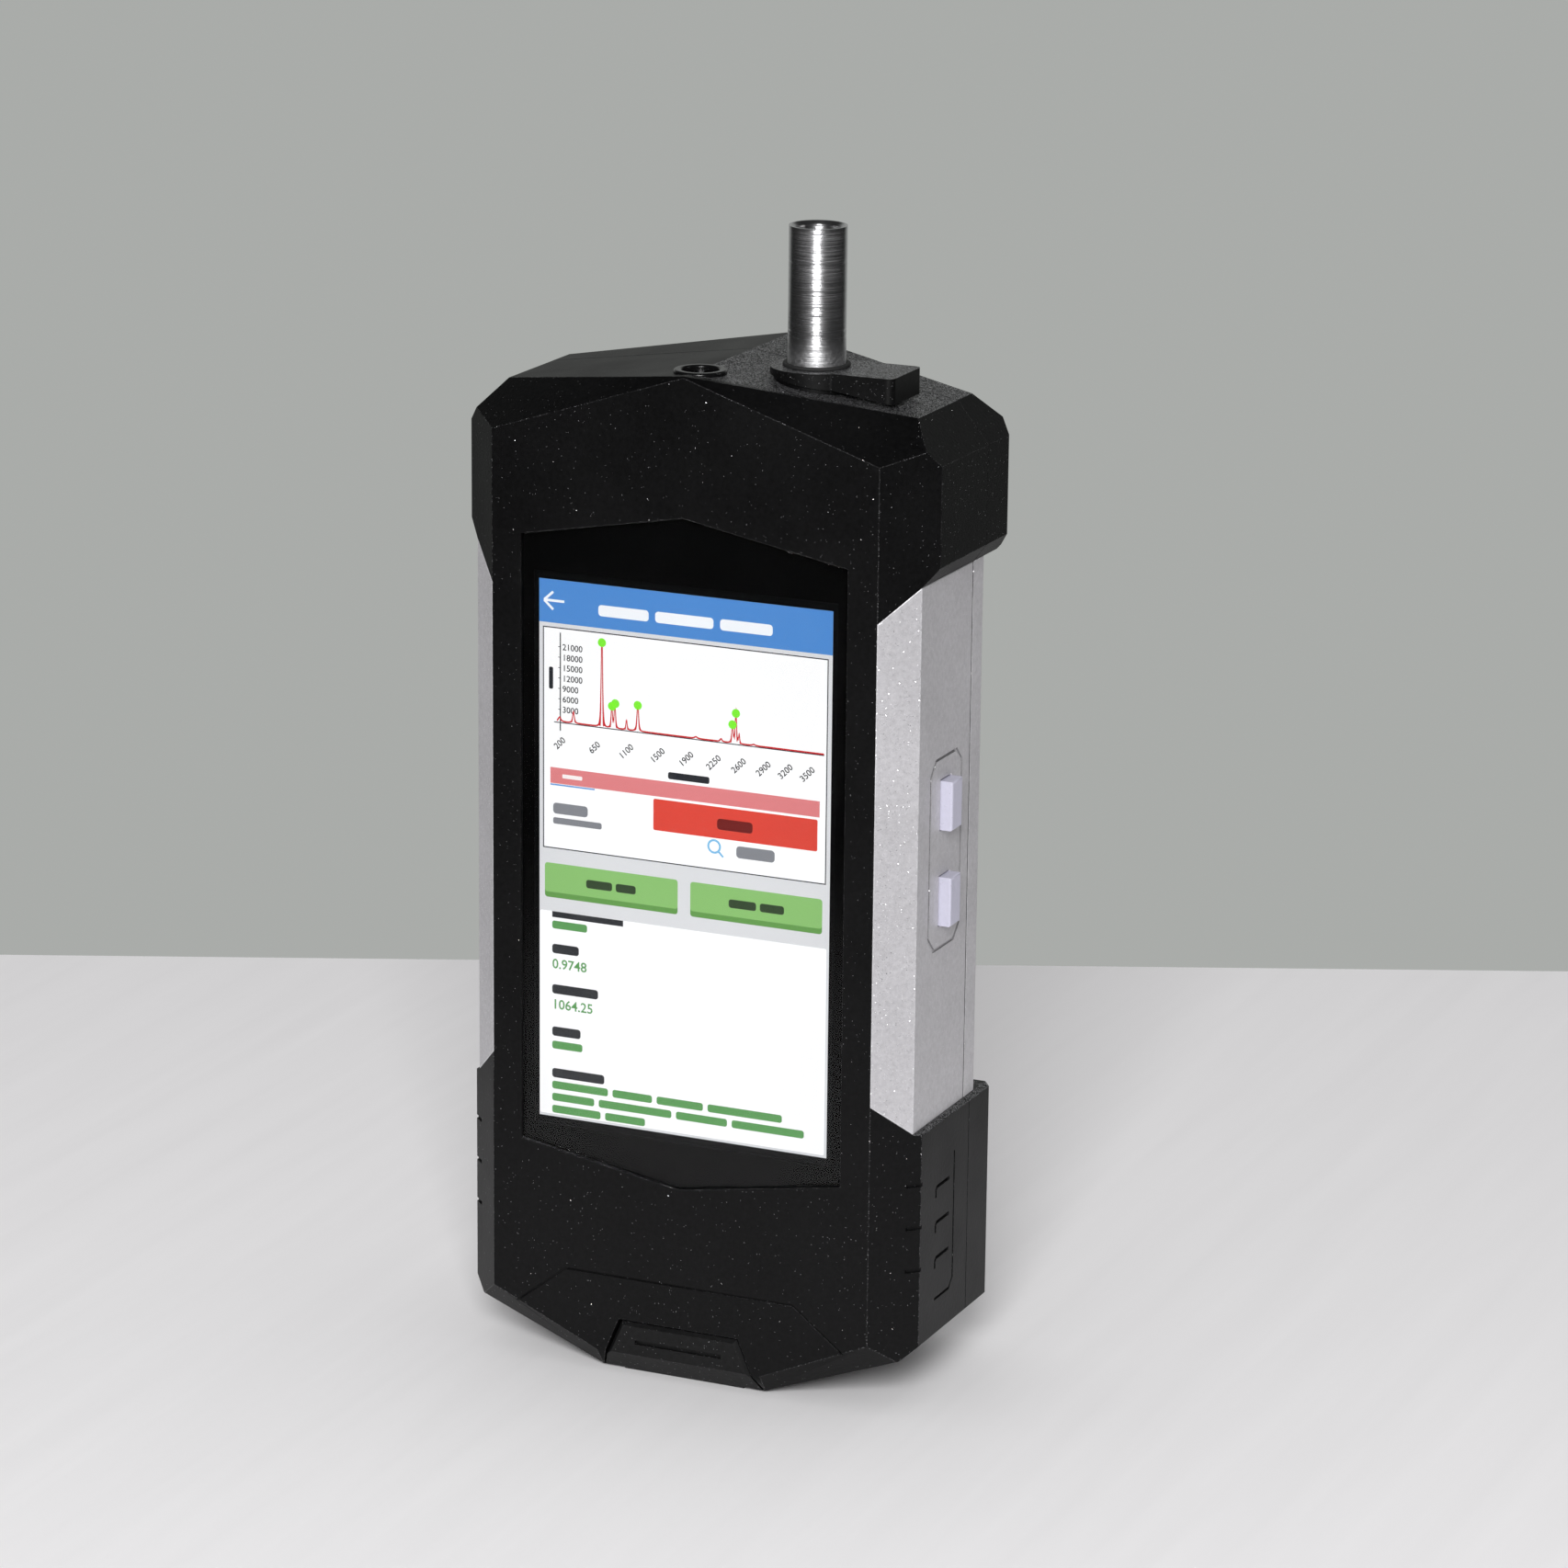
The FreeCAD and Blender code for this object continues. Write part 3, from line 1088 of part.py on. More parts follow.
def door_outline(margin):
    """The door's clipped outline, grown by margin."""
    return clipped(f"-bay_half - door_margin_x - {margin}", f"bay_half + door_margin_x + {margin}",
                   f"bay_low - door_margin_z - {margin}", f"bay_high + door_margin_z + {margin}",
                   "door_corner")


def door_circles(radius):
    """The four door screws."""
    return (pair("bay_low - door_screw_inset_z", radius, "door_screw_x")
            + pair("bay_high + door_screw_inset_z", radius, "door_screw_x"))


tray = keep(new_body("battery_tray"))
pad(tray, "XZ", "back_inside - bay_deep - tray_wall", "bay_deep + tray_wall",
    box("-bay_half - tray_wall", "bay_half + tray_wall", "bay_low - tray_wall", "bay_high + tray_wall"))
pocket(tray, "XZ", "back_inside - bay_deep", "bay_deep + 1",
       box("-bay_half", "bay_half", "bay_low", "bay_high"))
contacts = keep(new_body("battery_contacts"))
pad(contacts, "XY", "bay_low", "contact_height", *[
    box(f"{step}*contact_pitch - contact_width/2", f"{step}*contact_pitch + contact_width/2",
        "back_inside - bay_deep", "back_inside - bay_deep + contact_deep") for step in (-1, 0, 1)])
pack = keep(new_body("battery_pack"))
pad(pack, "XY", "bay_low + contact_height", "bay_high - bay_low - contact_height - pack_gap",
    box("-bay_half + pack_gap", "bay_half - pack_gap",
        "back_inside - bay_deep + pack_gap", "back_inside + rear_wall - door_thickness - pack_gap"))
soften(pack, "Fillet", "pack_roundness*bay_deep", upright)
door = keep(new_body("battery_door"))
pad(door, "XZ", "door_seat", "door_thickness", door_outline("0"))
pocket(door, "XZ", "door_seat", "door_thickness", *door_circles("door_shank"))
pocket(door, "XZ", "waist_back - door_head_sink", "door_head_sink", *door_circles("screw_head_radius"))
door_screws = keep(new_body("door_screws"))
pad(door_screws, "XZ", "waist_back - door_head_sink", "door_head_sink - door_head_clear",
    *door_circles("screw_head_radius"))
pad(door_screws, "XZ", "door_seat - door_screw_bite", "door_screw_bite + door_thickness - door_head_sink",
    *door_circles("door_shank"))

# Shells: two mouldings that meet at the seam in a tongue and a groove, with bosses for four long screws.
place("boss_x", "cavity_half - boss_inset")
place("boss_low", "cavity_floor + boss_rise")
place("boss_high", "ceiling - boss_drop")


def ring_loops(start, width):
    """Two loops of a rectangular ring round the cavity at the seam."""
    return [box(f"-cavity_half - {grow}", f"cavity_half + {grow}",
                f"cavity_floor - {grow}", f"ceiling + {grow}")
            for grow in (f"({start})", f"({start} + {width})")]


def shell_circles(height, radius):
    """The bosses or screws at one height."""
    return pair(height, radius, "boss_x")


def roof_bay():
    """The hollow under the roof, which leaves a wall's thickness over it."""
    return mirrored([("0", "body_height - wall"),
                     ("roof_bay_half", "body_height - wall - roof_pitch*roof_bay_half"),
                     ("roof_bay_half", "ceiling - overlap")])


front_form = new_body("front_shell_form")
pad(front_form, "XZ", "front", "seam_depth", housing_outline)
pocket(front_form, "XY", "0", "body_height", *both_sides([
    ("front_half", "front"), ("far", "front + far - front_half"),
    ("far", "front - 1"), ("front_half", "front - 1")]))
cut_brow(front_form)
cut_chin(front_form)
pocket(front_form, "XY", "cavity_floor", "ceiling - cavity_floor", mirrored([
    ("cavity_half", "seam + skin"), ("cavity_half", "front + cavity_half - front_half + skin*sqrt(2)"),
    ("front_half - skin*sqrt(2) + front_wall", "wall_back")]))
pocket(front_form, "XZ", "front + roof_bay_front", "seam_depth - roof_bay_front - seam_rib", roof_bay())
pocket(front_form, "XZ", "front + port_bay_front", "seam_depth - port_bay_front - seam_rib",
       box("-port_bay_half", "port_bay_half", "port_floor", "cavity_floor + overlap"))
pad(front_form, "XZ", "wall_back", "seam_depth - front_wall",
    *shell_circles("boss_low", "boss_radius"), *shell_circles("boss_high", "boss_radius"))
pad(front_form, "XZ", "wall_back", "board_back - front_wall",
    *pair("board_low_post", "post_radius"), *pair("board_high_post", "post_radius"))
pad(front_form, "XZ", "wall_back", "bench_front - front_wall",
    *pair("bench_low_post", "post_radius"), *pair("bench_high_post", "post_radius"))
pad(front_form, "XY", "port_floor", "port_board_z - port_floor",
    *pair("front_post_y", "port_post_radius", "port_post_x"),
    *pair("rear_post_y", "port_post_radius", "port_post_x"))
pad(front_form, "YZ", "button_board_x + board_thickness", "cavity_half - button_board_x - board_thickness",
    circle("standoff_low_y", "standoff_low_z", "standoff_radius"),
    circle("standoff_high_y", "standoff_high_z", "standoff_radius"))
pocket(front_form, "XZ", "seam - shell_bite", "shell_bite",
       *shell_circles("boss_low", "shell_shank"), *shell_circles("boss_high", "shell_shank"))
pocket(front_form, "XZ", "board_y - screw_bite", "screw_bite",
       *pair("board_low_post", "pilot_radius"), *pair("board_high_post", "pilot_radius"))
pocket(front_form, "XZ", "bench_y - screw_bite", "screw_bite",
       *pair("bench_low_post", "pilot_radius"), *pair("bench_high_post", "pilot_radius"))
pocket(front_form, "XZ", "front", "recess_floor - front", glass_outline("glass_gap"))
pocket(front_form, "XZ", "front", "front_wall", display_outline("display_gap"))
pocket(front_form, "YZ", "cavity_half - 1", "waist_half - cavity_half + 2",
       button_slot("upper_button_z"), button_slot("lower_button_z"))
pocket(front_form, "XZ", "seam - groove_depth", "groove_depth", *ring_loops("groove_start", "groove_width"))

# The front shell's places for the probe, the camera, the magnet and the pin in its roof.
pad(front_form, "XY", "ceiling + 1", "body_height - ceiling + collar_height",
    circle("probe_x", "probe_y", "collar_radius"))
pocket(front_form, "XZ", "front", "seam_depth", above_roof("collar_height"))
pocket(front_form, "XY", "ceiling - 1", "body_height - ceiling + collar_height + 2",
       circle("probe_x", "probe_y", "barrel_radius + barrel_gap"))
pocket(front_form, "XY", "ceiling - 1", "roof_thickness + 2", circle("0", "camera_y", "camera_bore"))
pocket(front_form, "XY", "body_height - bezel_sink", "bezel_sink + 1",
       circle("0", "camera_y", "bezel_radius"))
pocket(front_form, "XY", "magnet_roof - magnet_thickness", "magnet_thickness + 2",
       circle("magnet_x", "tab_y", "magnet_radius"))
pocket(front_form, "XY", "pin_roof - pin_root", "pin_root + 1", circle("pin_x", "pin_y", "pin_radius"))

# The front shell's recess for the port cover, and the openings of the ports above it.
pocket(front_form, "XZ", "front", "lip_thickness + cover_back_gap", mirrored([
    ("lip_top_half + cover_gap", "lip_top + cover_gap"), ("lip_foot_half + cover_gap", "0")]))
pocket(front_form, "XY", "0", "recess_top", box("-tongue_half - cover_gap", "tongue_half + cover_gap",
                                               "front", "hinge_y + tongue_thickness/2 + cover_gap"))
pocket(front_form, "YZ", "-hinge_pin_half", "2*hinge_pin_half",
       circle("hinge_y", "hinge_z", "hinge_pin_radius"))
pocket(front_form, "XY", "recess_top - overlap", "port_floor_thickness + 2*overlap", usb_outline("port_gap"),
       circle("jack_x", "port_y", "jack_radius + port_gap"))

# The front shell's fine marks: a long channel and three hooks on each side of the bumper, three notches in
# each front chamfer, and a line on the front round the port cover.
place("channel_top", "bumper_top - channel_drop")
place("hook_top", "bumper_top - hook_drop")
place("notch_top", "bumper_top - notch_drop")
place("notch_end", "bumper_half - notch_reach")
place("apron_run", "apron_foot_half - apron_top_half")
place("apron_fall", "apron_top - apron_foot")
place("apron_edge", "sqrt(apron_run^2 + apron_fall^2)")


def elbow(bend, ends, signs, width, corner):
    """A bent band: its bend, the ends of its arms, the ways they run, its width and its clipped corner."""
    (across, up), (end_across, end_up), (outward, upward) = bend, ends, signs
    inner = f"({corner} + {width}*(sqrt(2) - 1))"
    return [(end_across, up), (f"{across} {outward} {corner}", up), (across, f"{up} {upward} {corner}"),
            (across, end_up), (f"{across} {outward} {width}", end_up),
            (f"{across} {outward} {width}", f"{up} {upward} {inner}"),
            (f"{across} {outward} {inner}", f"{up} {upward} {width}"), (end_across, f"{up} {upward} {width}")]


channel = elbow(("front + channel_rear", "channel_foot"), ("front + channel_front", "channel_top"), "-+",
                "channel_width", "channel_corner")
hooks = []
for number in range(3):
    top = f"(hook_top - {number}*hook_pitch)"
    hooks.append(elbow(("front + hook_front", top), ("front + hook_rear", f"{top} - hook_tall"), "+-",
                       "hook_width", "hook_corner"))
for side in ("bumper_half", "-bumper_half"):
    pocket(front_form, "YZ", f"{side} - mark_depth", "2*mark_depth", channel, *hooks)
for number in range(3):
    pocket(front_form, "XY", f"notch_top - {number}*notch_pitch", "notch_width", *both_sides([
        ("notch_end", "front + notch_end - front_half - 1"),
        ("bumper_half + 1", "front + bumper_half - front_half"),
        ("bumper_half + 1", "front + bumper_half + 1 - front_half + mark_depth*sqrt(2)"),
        ("notch_end", "front + notch_end - front_half + mark_depth*sqrt(2)")]))
pocket(front_form, "XZ", "front", "apron_depth", mirrored([
    ("apron_top_half", "apron_top"), ("apron_foot_half", "apron_foot"),
    ("apron_foot_half - apron_width*apron_edge/apron_fall", "apron_foot"),
    ("apron_top_half - apron_width*(apron_edge - apron_run)/apron_fall", "apron_top - apron_width")]))
keep(without("front_shell", front_form, right_front_blank, left_front_blank))

rear_form = new_body("rear_shell_form")
pad(rear_form, "XZ", "seam", "depth - seam_depth", housing_outline)


def trim_back(half, back, low, tall):
    """Cuts the rear shell back to a flat and two chamfers over one stretch of its height."""
    corner = f"{back} - ({half} - front_half)"
    pocket(rear_form, "XY", low, tall, [
        ("far", corner), (half, corner), ("front_half", back), ("-front_half", back), (f"-{half}", corner),
        ("-far", corner), ("-far", "-front + 1"), ("far", "-front + 1")])


def cut_ledge(start, climb):
    """A 45 degree face from the waist's back up to the head or down to the bumper."""
    away = "tool_reach" if climb == "+" else "-tool_reach"
    pocket(rear_form, "YZ", "-far", "2*far", [
        ("waist_back", start), ("waist_back + tool_reach", f"{start} + {away}"),
        ("waist_back + tool_reach", start)])


trim_back("head_half", "-front", "head_base", "body_height - head_base")
trim_back("waist_half", "waist_back", "bumper_top", "head_base - bumper_top")
trim_back("bumper_half", "bumper_back", "0", "bumper_top")
cut_ledge("head_base", "+")
cut_ledge("bumper_top", "-")
slanting_pocket(rear_form, "-front", "depth - seam_depth", -1, "brow_pitch", brow_outline)
slanting_pocket(rear_form, "bumper_back", "depth - bumper_recess - seam_depth", -1, "-chin_pitch",
                chin_outline)
pocket(rear_form, "XY", "cavity_floor", "ceiling - cavity_floor", mirrored([
    ("front_half - skin*sqrt(2) + rear_wall", "back_inside"),
    ("cavity_half", "waist_back - cavity_half + front_half - skin*sqrt(2)"), ("cavity_half", "seam - skin")]))
pocket(rear_form, "XZ", "seam + roof_bay_rear", "depth - seam_depth - roof_bay_rear - roof_bay_front",
       roof_bay())
pad(rear_form, "XZ", "seam", "bumper_back - seam - wall/2", *shell_circles("boss_low", "boss_radius"))
pad(rear_form, "XZ", "seam", "-front - seam - wall/2", *shell_circles("boss_high", "boss_radius"))
pocket(rear_form, "XZ", "seam - 1", "depth", *shell_circles("boss_low", "shell_hole"),
       *shell_circles("boss_high", "shell_hole"))
pocket(rear_form, "XZ", "bumper_back - shell_head_sink", "shell_head_sink",
       *shell_circles("boss_low", "shell_head_radius"))
pocket(rear_form, "XZ", "-front - shell_head_sink", "shell_head_sink",
       *shell_circles("boss_high", "shell_head_radius"))
pocket(rear_form, "XZ", "back_inside - 1", "rear_wall + 2",
       box("-bay_half", "bay_half", "bay_low", "bay_high"))
pocket(rear_form, "XZ", "door_seat", "door_thickness", door_outline("door_gap"))
pocket(rear_form, "XZ", "door_seat - door_screw_bite", "door_screw_bite", *door_circles("door_shank"))
pad(rear_form, "XZ", "seam - groove_depth + seal_thickness", "groove_depth - seal_thickness",
    *ring_loops("groove_start + tongue_play", "groove_width - 2*tongue_play"))
keep(without("rear_shell", rear_form, right_rear_grip, left_rear_grip))

seal = keep(new_body("shell_seal"))
pad(seal, "XZ", "seam - groove_depth", "seal_thickness", *ring_loops("groove_start", "groove_width"))
shell_screws = keep(new_body("shell_screws"))
pad(shell_screws, "XZ", "bumper_back - shell_head_sink", "shell_head_height",
    *shell_circles("boss_low", "shell_head_radius"))
pad(shell_screws, "XZ", "seam - shell_bite", "bumper_back - shell_head_sink - seam + shell_bite",
    *shell_circles("boss_low", "shell_shank"))
pad(shell_screws, "XZ", "-front - shell_head_sink", "shell_head_height",
    *shell_circles("boss_high", "shell_head_radius"))
pad(shell_screws, "XZ", "seam - shell_bite", "-front - shell_head_sink - seam + shell_bite",
    *shell_circles("boss_high", "shell_shank"))

# Foot pad: rubber under the flat base, open at the front for the port cover.
foot_pad = keep(new_body("foot_pad"))
pad(foot_pad, "XY", "0", "pad_thickness", [
    ("base_half", "front + foot_front"), ("base_half", "bumper_back - foot_rear"),
    ("-base_half", "bumper_back - foot_rear"), ("-base_half", "front + foot_front"),
    ("-tongue_half - foot_gap", "front + foot_front"),
    ("-tongue_half - foot_gap", "hinge_y + tongue_thickness/2 + foot_gap"),
    ("tongue_half + foot_gap", "hinge_y + tongue_thickness/2 + foot_gap"),
    ("tongue_half + foot_gap", "front + foot_front")])

doc.recompute()
failed = [item.Name for item in doc.Objects if "Invalid" in item.State or "Error" in item.State]
unsound = [item.Label for item in kept if item.Shape.isNull() or not item.Shape.isValid()]
if failed or unsound:
    raise RuntimeError(f"failed features: {failed}; unsound sub-parts: {unsound}")

os.makedirs("parts", exist_ok=True)
for item in kept:
    item.Shape.exportStep(os.path.join("parts", item.Label + ".step"))
print(f"{len(kept)} sub-parts written")
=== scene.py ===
"""The looks of a handheld Raman spectrometer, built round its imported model, in metres."""

import math

import bmesh
import bpy
from mathutils import Matrix, Vector
from mathutils.bvhtree import BVHTree


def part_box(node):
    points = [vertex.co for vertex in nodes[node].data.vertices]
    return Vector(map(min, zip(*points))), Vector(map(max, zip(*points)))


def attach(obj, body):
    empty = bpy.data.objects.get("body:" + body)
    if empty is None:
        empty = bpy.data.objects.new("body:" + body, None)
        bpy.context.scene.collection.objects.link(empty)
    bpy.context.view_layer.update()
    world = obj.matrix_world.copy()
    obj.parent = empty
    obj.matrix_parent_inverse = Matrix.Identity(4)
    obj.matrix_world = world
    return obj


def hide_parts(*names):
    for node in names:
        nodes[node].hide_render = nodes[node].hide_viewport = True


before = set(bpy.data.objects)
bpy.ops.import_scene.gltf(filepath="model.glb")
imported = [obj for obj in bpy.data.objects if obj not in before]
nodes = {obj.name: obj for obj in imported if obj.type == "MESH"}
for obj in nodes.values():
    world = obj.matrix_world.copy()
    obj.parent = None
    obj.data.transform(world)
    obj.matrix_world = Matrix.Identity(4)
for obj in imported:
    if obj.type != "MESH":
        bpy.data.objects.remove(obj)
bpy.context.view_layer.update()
MM = 0.001

# Housing: a front and a rear moulding of glass-filled plastic, sprayed black with a fine
# sparkle paint. They meet at the seam. The tool leaves a small round on each outer edge,
# where the paint wears paler.
SHELL_ROUND = 0.4 * MM
SHELL_EDGE_ANGLE = math.radians(12)
SHELL_EDGE_LENGTH = 3.0 * MM
GROOVE_WALL = 0.6 * MM
SEAM_GAP = 0.16 * MM
FLAT_ANGLE = math.radians(1.5)
SAME_POINT = 0.002 * MM
SAME_PLANE = 0.01 * MM
RAY_START = 0.02 * MM
FACING_BACK = 0.9
GLINT_FROM = 0.93  # how squarely a face turns to the glint side, where more and bigger flecks are painted as glints
GLINT_FULL = 0.98
FLECK_RIM = 0.34  # a fleck's outline and its solid middle, in cells
FLECK_CORE = 0.22
GLINT_FLECK_MORE = 0.3


def add(tree, kind, inputs, **settings):
    """A node with its settings, and each input either linked from a socket or set to a value."""
    node = tree.nodes.new(kind)
    for name, setting in settings.items():
        setattr(node, name, setting)
    for name, source in inputs.items():
        if isinstance(source, bpy.types.NodeSocket):
            tree.links.new(source, node.inputs[name])
        else:
            node.inputs[name].default_value = source
    return node


def effect(name, inputs, outputs):
    """An empty node group with named inputs, each with its usual value, and named outputs."""
    group = bpy.data.node_groups.new(name, "ShaderNodeTree")
    for title, kind, usual in inputs:
        socket = group.interface.new_socket(name=title, in_out="INPUT",
                                            socket_type="NodeSocket" + kind)
        socket.default_value = usual
    for title, kind in outputs:
        group.interface.new_socket(name=title, in_out="OUTPUT", socket_type="NodeSocket" + kind)
    given = group.nodes.new("NodeGroupInput").outputs
    return group, given, group.nodes.new("NodeGroupOutput").inputs


def object_place(tree):
    """Where a point of the piece is."""
    return tree.nodes.new("ShaderNodeTexCoord").outputs["Object"]


def math_node(tree, operation, first, second=0.0, third=0.0):
    """The result of one sum."""
    return add(tree, "ShaderNodeMath", {0: first, 1: second, 2: third},
               operation=operation).outputs["Value"]


def vector_math(tree, operation, first, second=(0.0, 0.0, 0.0), end="Vector"):
    """The result of one sum of vectors."""
    return add(tree, "ShaderNodeVectorMath", {0: first, 1: second},
               operation=operation).outputs[end]


def scaled(tree, vector, share):
    """A colour or a direction, multiplied by a share."""
    return add(tree, "ShaderNodeVectorMath", {0: vector, "Scale": share},
               operation="SCALE").outputs["Vector"]


def map_range(tree, value, low, high, to_low=0.0, to_high=1.0, **settings):
    """A value between low and high, moved to another range and held inside it."""
    return add(tree, "ShaderNodeMapRange",
               {"Value": value, "From Min": low, "From Max": high, "To Min": to_low,
                "To Max": to_high}, **settings).outputs["Result"]


def noise(tree, place, scale, detail, roughness=0.5, distortion=0.0):
    """A soft random pattern."""
    return add(tree, "ShaderNodeTexNoise",
               {"Vector": place, "Scale": scale, "Detail": detail, "Roughness": roughness,
                "Distortion": distortion}).outputs["Fac"]


def mixed(tree, share, first, second):
    """Two colours, mixed by a share of the second."""
    return add(tree, "ShaderNodeMix", {"Factor": share, "A": first, "B": second},
               data_type="RGBA").outputs["Result"]


def marked(tree, name):
    """How strongly the mesh is marked with an attribute."""
    return add(tree, "ShaderNodeAttribute", {}, attribute_name=name).outputs["Fac"]


def give(tree, ends, sources):
    """Links each source to the end that it is named for."""
    for title, source in sources.items():
        tree.links.new(source, ends[title])


def make_sparkle_paint():
    """Paint with scattered metal flecks, each tilted its own way, under a fine orange peel; extra
    and bigger flecks on faces turned to the glint side are a painted glint.
    """
    group, given, result = effect(
        "sparkle_paint",
        [("Paint", "Color", (0.01, 0.01, 0.01, 1)), ("Fleck", "Color", (0.3, 0.3, 0.3, 1)),
         ("Mottle", "Float", 0.3), ("Flecks per Metre", "Float", 5000.0),
         ("Fleck Share", "Float", 0.03), ("Edge Share", "Float", 0.3),
         ("Thick Side", "Vector", (0.0, 0.0, 1.0)), ("Thick Share", "Float", 0.0),
         ("Fleck Tilt", "Float", 0.8), ("Peel per Metre", "Float", 1500.0),
         ("Peel Depth", "Float", 0.00002), ("Roughness", "Float", 0.5),
         ("Fleck Roughness", "Float", 0.25)],
        [("Color", "Color"), ("Fleck Mask", "Float"), ("Roughness", "Float"),
         ("Normal", "Vector")])
    place = object_place(group)
    cells = add(group, "ShaderNodeTexVoronoi",
                {"Vector": place, "Scale": given["Flecks per Metre"]}).outputs
    lot = add(group, "ShaderNodeSeparateColor", {"Color": cells["Color"]}).outputs["Red"]
    face = group.nodes.new("ShaderNodeNewGeometry").outputs["Normal"]
    # Faces turned to the glint side get more and bigger flecks: a painted glint, standing for the
    # sparkle that the light brings out on them.
    towards = vector_math(group, "DOT_PRODUCT", face, given["Thick Side"], end="Value")
    glint_facing = map_range(group, towards, GLINT_FROM, GLINT_FULL)
    share = math_node(group, "MULTIPLY_ADD", marked(group, "edge_wear"), given["Edge Share"],
                      given["Fleck Share"])
    share = math_node(group, "MULTIPLY_ADD", glint_facing, given["Thick Share"], share)
    chosen = math_node(group, "LESS_THAN", lot, share)
    rim = math_node(group, "MULTIPLY_ADD", glint_facing, GLINT_FLECK_MORE, FLECK_RIM)
    disc = map_range(group, cells["Distance"], rim, FLECK_CORE)
    mask = math_node(group, "MULTIPLY", chosen, disc)
    drift = noise(group, place, 60.0, 3.0)
    grain = noise(group, place, 1100.0, 3.0)
    both = math_node(group, "MULTIPLY_ADD", grain, 2.0, drift)
    centred = math_node(group, "SUBTRACT", both, 1.5)
    swing = math_node(group, "MULTIPLY_ADD", centred, given["Mottle"], 1.0)
    tint = scaled(group, given["Paint"], swing)
    uneven = math_node(group, "MULTIPLY_ADD", drift, 0.16, -0.08)
    paint_rough = math_node(group, "ADD", given["Roughness"], uneven)
    rough = add(group, "ShaderNodeMix",
                {"Factor": mask, "A": paint_rough, "B": given["Fleck Roughness"]},
                data_type="FLOAT").outputs["Result"]
    chance = add(group, "ShaderNodeTexWhiteNoise", {"Vector": cells["Position"]}).outputs["Color"]
    lean = vector_math(group, "SUBTRACT", chance, (0.5, 0.5, 0.5))
    tilt = scaled(group, lean, math_node(group, "MULTIPLY", mask, given["Fleck Tilt"]))
    unit = vector_math(group, "NORMALIZE", vector_math(group, "ADD", face, tilt))
    peel = noise(group, place, given["Peel per Metre"], 2.0)
    bumps = add(group, "ShaderNodeBump",
                {"Height": peel, "Distance": given["Peel Depth"], "Normal": unit})
    give(group, result, {"Color": mixed(group, mask, tint, given["Fleck"]), "Fleck Mask": mask,
                         "Roughness": rough, "Normal": bumps.outputs["Normal"]})
    return group


def make_wear_and_groove_shade():
    """A finish rubbed pale on rounded edges, and darkened with painted shade in grooves and seams,
    as the mesh is marked.
    """
    group, given, result = effect(
        "edge_wear",
        [("Color", "Color", (0, 0, 0, 1)), ("Worn", "Color", (0.2, 0.2, 0.2, 1)),
         ("Amount", "Float", 0.5), ("Groove Shade", "Color", (0.006, 0.006, 0.006, 1))],
        [("Color", "Color")])
    patches = noise(group, object_place(group), 260.0, 6.0, roughness=0.7)
    rubbed = map_range(group, patches, 0.40, 0.66)
    worn = math_node(group, "MULTIPLY", marked(group, "edge_wear"), rubbed)
    share = math_node(group, "MULTIPLY", worn, given["Amount"])
    pale = mixed(group, share, given["Color"], given["Worn"])
    # Marked grooves and seams are darkened in patches towards a near-black: painted shade, where
    # the light does not reach.
    patchy_shade = map_range(group, patches, 0.0, 1.0, 1.0, 0.6)
    depth = math_node(group, "MULTIPLY", marked(group, "groove_shade"), patchy_shade)
    give(group, result, {"Color": mixed(group, depth, pale, given["Groove Shade"])})
    return group


def new_material(name, **plain):
    """A material whose shader has its plain values set on its own sockets."""
    material = bpy.data.materials.new(name)
    material.use_nodes = True
    shader = material.node_tree.nodes["Principled BSDF"]
    for title, setting in plain.items():
        shader.inputs[title.replace("_", " ")].default_value = setting
    return material, material.node_tree, shader.inputs


def placed(tree, group, **values):
    """An effect placed in a material with its own values, each named as its input is."""
    return add(tree, "ShaderNodeGroup",
               {title.replace("_", " "): setting for title, setting in values.items()},
               node_tree=group).outputs


sparkle_paint = make_sparkle_paint()
edge_wear = make_wear_and_groove_shade()


def painted(name, paint, fleck, worn, wear, metal, specular, **coat_values):
    """A sparkle paint with worn edges; coat_values are the sparkle's own values."""
    material, tree, shader = new_material(name, Specular_IOR_Level=specular)
    coat = placed(tree, sparkle_paint, Paint=(*paint, 1), Fleck=(*fleck, 1), **coat_values)
    edges = placed(tree, edge_wear, Color=coat["Color"], Worn=(*worn, 1), Amount=wear)
    shine = map_range(tree, coat["Fleck Mask"], 0.0, 1.0, metal, 1.0)
    give(tree, shader, {"Base Color": edges["Color"], "Roughness": coat["Roughness"],
                        "Metallic": shine, "Normal": coat["Normal"]})
    return material


# Faces turned up and to the right get more and bigger flecks: a painted glint where the light makes
# the roof sparkle.
black_paint = painted(
    "black_sparkle_paint", paint=(0.0024, 0.0024, 0.0026), fleck=(0.62, 0.62, 0.64),
    worn=(0.025, 0.025, 0.026), wear=0.6, metal=0.0, specular=0.18, Roughness=0.46, Mottle=0.9,
    Fleck_Share=0.012, Edge_Share=0.5, Thick_Side=(0.35, 0.0, 0.937), Thick_Share=0.6,
    Fleck_Tilt=1.3, Peel_Depth=0.00003)


def edit(piece):
    """Opens one piece in edit mode, with nothing selected in it."""
    if bpy.context.object and bpy.context.object.mode == "EDIT":
        bpy.ops.object.mode_set(mode="OBJECT")
    bpy.ops.object.select_all(action="DESELECT")
    bpy.context.view_layer.objects.active = piece
    piece.select_set(True)
    bpy.ops.object.mode_set(mode="EDIT")
    bpy.ops.mesh.select_mode(type="VERT")
    bpy.ops.mesh.select_all(action="DESELECT")


